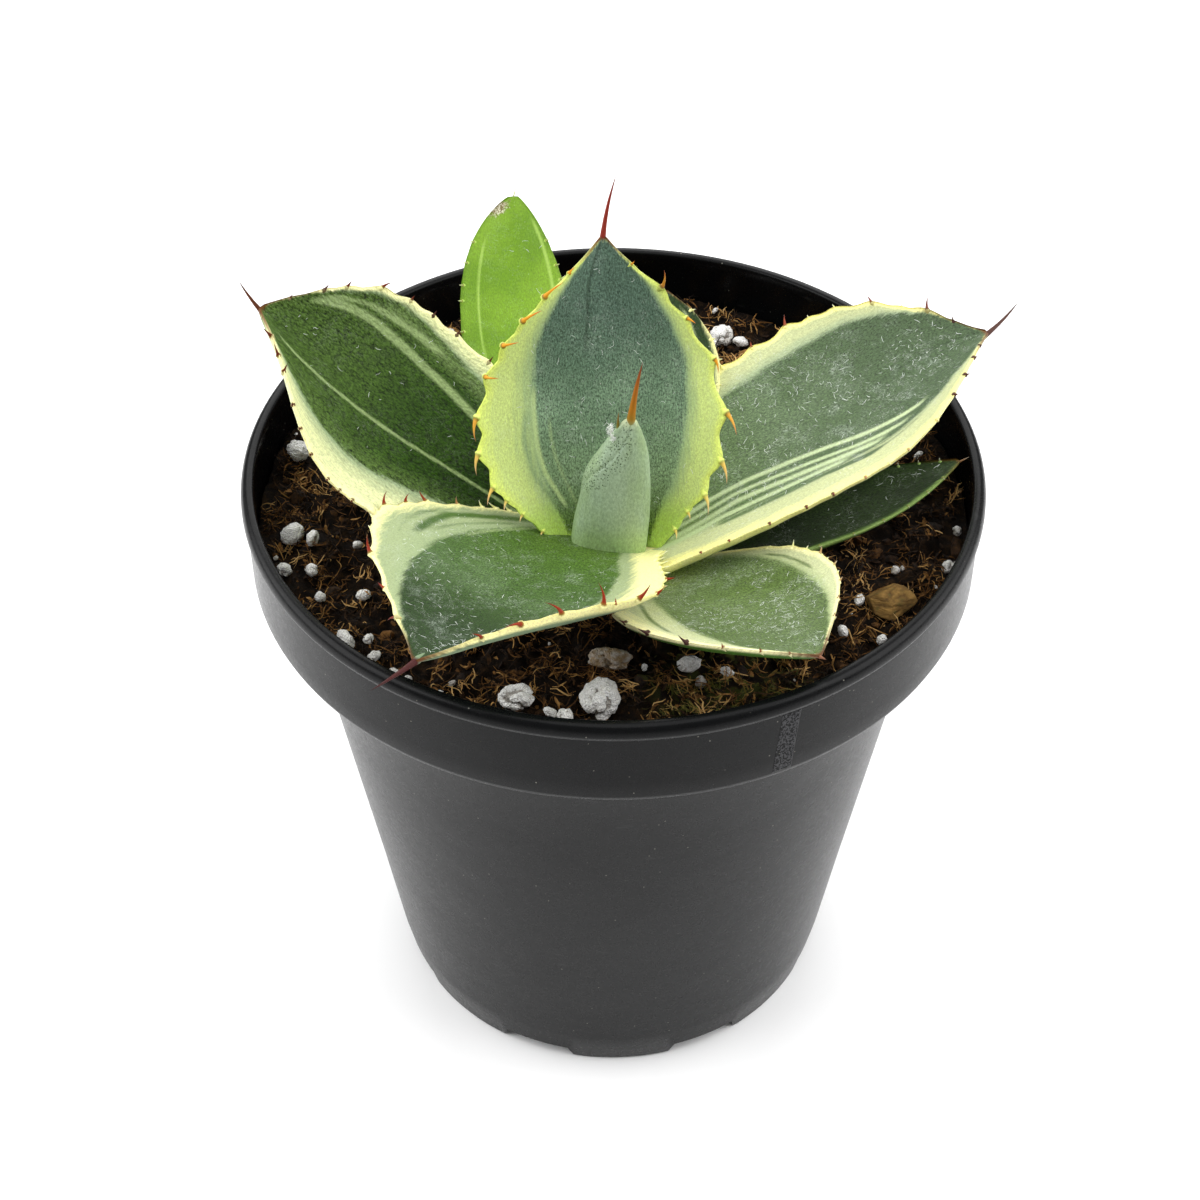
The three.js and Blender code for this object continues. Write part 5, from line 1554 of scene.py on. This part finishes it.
# Lumps
def lump_shape(radius, stretch, subdivisions, seed, angular=False):
    """A rough lump: a sphere swollen into round nodules with clefts between, or cut by flats."""
    deselect()
    bpy.ops.mesh.primitive_ico_sphere_add(subdivisions=subdivisions, radius=1)
    piece = titled("lump")
    ball = places_of(piece)
    knobs = waves(ball * 10, 7.0, 2, seed)
    fine = waves(ball * 10, 2.2, 3, seed + 5)
    draw = random.Random(int(seed * 100))
    nodules = np.zeros(len(ball))
    for k in range(NODULES):
        heart = unit(np.array([draw.gauss(0, 1), draw.gauss(0, 1), draw.gauss(0, 1)]))
        apart = np.arccos(np.clip(ball @ heart, -1, 1)) / draw.uniform(0.34, 0.66)
        round_top = np.sqrt(np.clip(1 - apart ** 2, 0, 1))
        nodules = np.maximum(nodules, draw.uniform(0.65, 1.0) * round_top)
    grown = 0.7 + 0.34 * nodules + 0.12 * knobs + 0.05 * fine
    if angular:
        facets = [unit(np.array([draw.uniform(-1, 1) for axis in "xyz"])) for k in range(9)]
        reach = np.min([0.72 / np.maximum(ball @ facet, 0.55) for facet in facets], 0)
        grown = np.minimum(reach, 1.15) * (1 + 0.05 * knobs + 0.035 * fine)
    set_values(piece, cleft=1 - nodules)
    return piece, ball * grown[:, None] * radius * np.array(stretch)


def lumps(perlite, bark):
    for i, (node, (x, y), radius, stretch, stain) in enumerate(LUMPS):
        is_bark = node == "bark_chip"
        piece, at = lump_shape(radius * 0.98, stretch, 5, 11.3 * i + 2, is_bark)
        centre = SOIL_LEVEL + soil_swell(x, y) + radius * stretch[2] * (1 - LUMP_SUNK)
        low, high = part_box(node)
        at += np.array([x, y, centre])
        at = np.clip(at, np.array(low) / MM + 0.02, np.array(high) / MM - 0.02)
        set_places(piece, at * MM)
        set_values(piece, stain=stain)
        piece.name = piece.data.name = node
        rounded(piece)
        belongs(piece, node, "bark" if is_bark else "perlite", bark if is_bark else perlite)


def perlite_bits(finish):
    """Small bits of perlite over the bed: those in the open where they lie, the rest at random."""
    draw = random.Random(5)
    shapes = []
    clefts = []
    for i in range(SHAPE_COUNT):
        piece, at = lump_shape(1.05, (1.1, 0.95, 0.9), 3, 31.7 * i + 4)
        set_places(piece, at)
        held = np.empty(len(at), dtype=np.float32)
        piece.data.attributes["cleft"].data.foreach_get("value", held)
        clefts.append(held)
        shapes.append(shape_of(piece))
    spots = list(SEEN_BITS)
    while len(spots) < BIT_COUNT:
        spots.append((*soil_spot(draw), 0.3 + 0.7 * draw.random() ** 2))
    placed = []
    for i, (x, y, size) in enumerate(spots):
        turn = random_turn(draw, 60)
        stretch = [draw.uniform(0.75, 1.25), draw.uniform(0.7, 1.1), draw.uniform(0.7, 1.0)]
        at = np.array([x, y, ground(x, y) + 1.2 + 0.5 * size])
        placed.append(inside_wall(shapes[i % SHAPE_COUNT], turn @ np.diag(stretch) * size, at))
    piece = copies("perlite_bits", placed, stain=[0.35 * draw.random() ** 2 for spot in placed])
    set_values(piece, cleft=np.concatenate([clefts[i % SHAPE_COUNT] for i in range(BIT_COUNT)]))
    rounded(piece)
    return belongs(piece, None, "perlite", finish)


def perlite_finish():
    made = Finish("perlite, rough white", 0.9, specular_ior_level=0.2)
    at = made.place()
    height = made.parts(at)[2]
    broad = made.noise(at, 0.5)
    stops = [(0.3, (244, 242, 236)), (0.55, (254, 253, 250)), (0.8, (255, 255, 253))]
    colour = made.ramp(broad, stops)
    dirt = made.ease(made.noise(at, 1.3, 4.0, 0.7), 0.57, 0.68)
    colour = made.mix(dirt * 0.45, colour, (150, 128, 98))
    low = made.ease(height + broad * 2.0, SOIL_LEVEL + 1.8, SOIL_LEVEL + 0.2)
    colour = made.mix(low * 0.4, colour, (122, 96, 66))
    stain = made.value("stain") + (made.noise(at, 0.8) - 0.5)
    colour = made.mix(made.ease(stain, 0.3, 0.9), colour, (168, 142, 108))
    # Painted shade in the clefts between the nodules
    cleft_shade = made.value("cleft") + (made.noise(at, 1.6) - 0.5) * 0.6
    colour = made.mix(made.ease(cleft_shade, 0.74, 1.0) * 0.7, colour, (96, 80, 60))
    # Painted shade along the low grooves between the raised cells of the relief
    pores = made.cells(at, 2.6)
    colour = made.mix(made.ease(pores, 0.66, 0.84) * 0.35, colour, (120, 104, 84))
    relief = made.ease(pores, 0.7, 0.1) + made.noise(at, 3.0, 3.0, 0.7)
    return made.finish(colour, None, relief, 0.3, 0.9)


def bark_finish():
    made = Finish("bark, ochre brown", 0.85, specular_ior_level=0.25)
    layers = made.noise(made.place((0.3, 0.5, 2.2)), 0.9, 4.0, 0.65)
    colour = made.ramp(layers, [(0.3, (70, 50, 24)), (0.5, (116, 88, 44)), (0.75, (160, 124, 66))])
    spots = made.ease(made.noise(made.place(), 0.8), 0.55, 0.7)
    colour = made.mix(spots * 0.6, colour, (84, 80, 40))
    return made.finish(colour, None, layers, 0.6, 0.9)


# Stage
def aimed(made, along):
    made.rotation_euler = Vector(along).to_track_quat("-Z", "Y").to_euler()


def camera():
    bpy.ops.object.camera_add(location=[c * MM for c in CAMERA_AT])
    made = bpy.context.object
    aimed(made, CAMERA_LOOK)
    made.data.lens = CAMERA_LENS
    made.data.sensor_width = CAMERA_SENSOR
    made.data.clip_start = 0.01
    bpy.context.scene.camera = made


def floor():
    bpy.ops.mesh.primitive_plane_add(size=6)
    made = titled("floor")
    paper = Finish("floor, plain white", 0.9, specular_ior_level=0.1)
    tone = paper.mix(paper.noise(paper.place(), 0.004), (246, 246, 246), (252, 252, 252))
    made.data.materials.append(paper.finish(tone))


def lights():
    """A white tent: an even glow all round and four soft panels."""
    world = bpy.data.worlds.new("white tent")
    bpy.context.scene.world = world
    world.use_nodes = True
    glow = world.node_tree.nodes["Background"].inputs
    glow["Color"].default_value = (1, 1, 1, 1)
    glow["Strength"].default_value = TENT_GLOW
    for name, at, aim, size, watts in PANELS:
        bpy.ops.object.light_add(type="AREA", location=at)
        made = bpy.context.object
        made.name = name
        made.data.shape = "RECTANGLE"
        made.data.size, made.data.size_y = size
        made.data.energy = watts
        aimed(made, Vector(aim) - Vector(at))
    bpy.context.scene.view_settings.view_transform = "Standard"


deselect()
camera()
floor()
lights()

pot_piece(pot_finish())
soil_bed(soil_finish())
litter(litter_finish())
perlite = perlite_finish()
lumps(perlite, bark_finish())
perlite_bits(perlite)

tooth_shape = thorn_shape(7, 8, 0.95)
spine_shape = thorn_shape(14, 14, 0.62)
thread_shapes = [fibre_shape(random.Random(60 + k), 4, 1.1, 1.0) for k in range(8)]
finishes = {name: leaf_finish(name, look) for name, look in GREENS.items()}
for leaf in LEAVES:
    leaf_piece(leaf, tooth_shape, spine_shape, thread_shapes, finishes[leaf["finish"]])
stem_piece(stem_finish())
bud_piece(spine_shape, bud_finish())
bud_fluff(fibre_shape(random.Random(3), 5, 0.5, 1.0), fluff_finish())
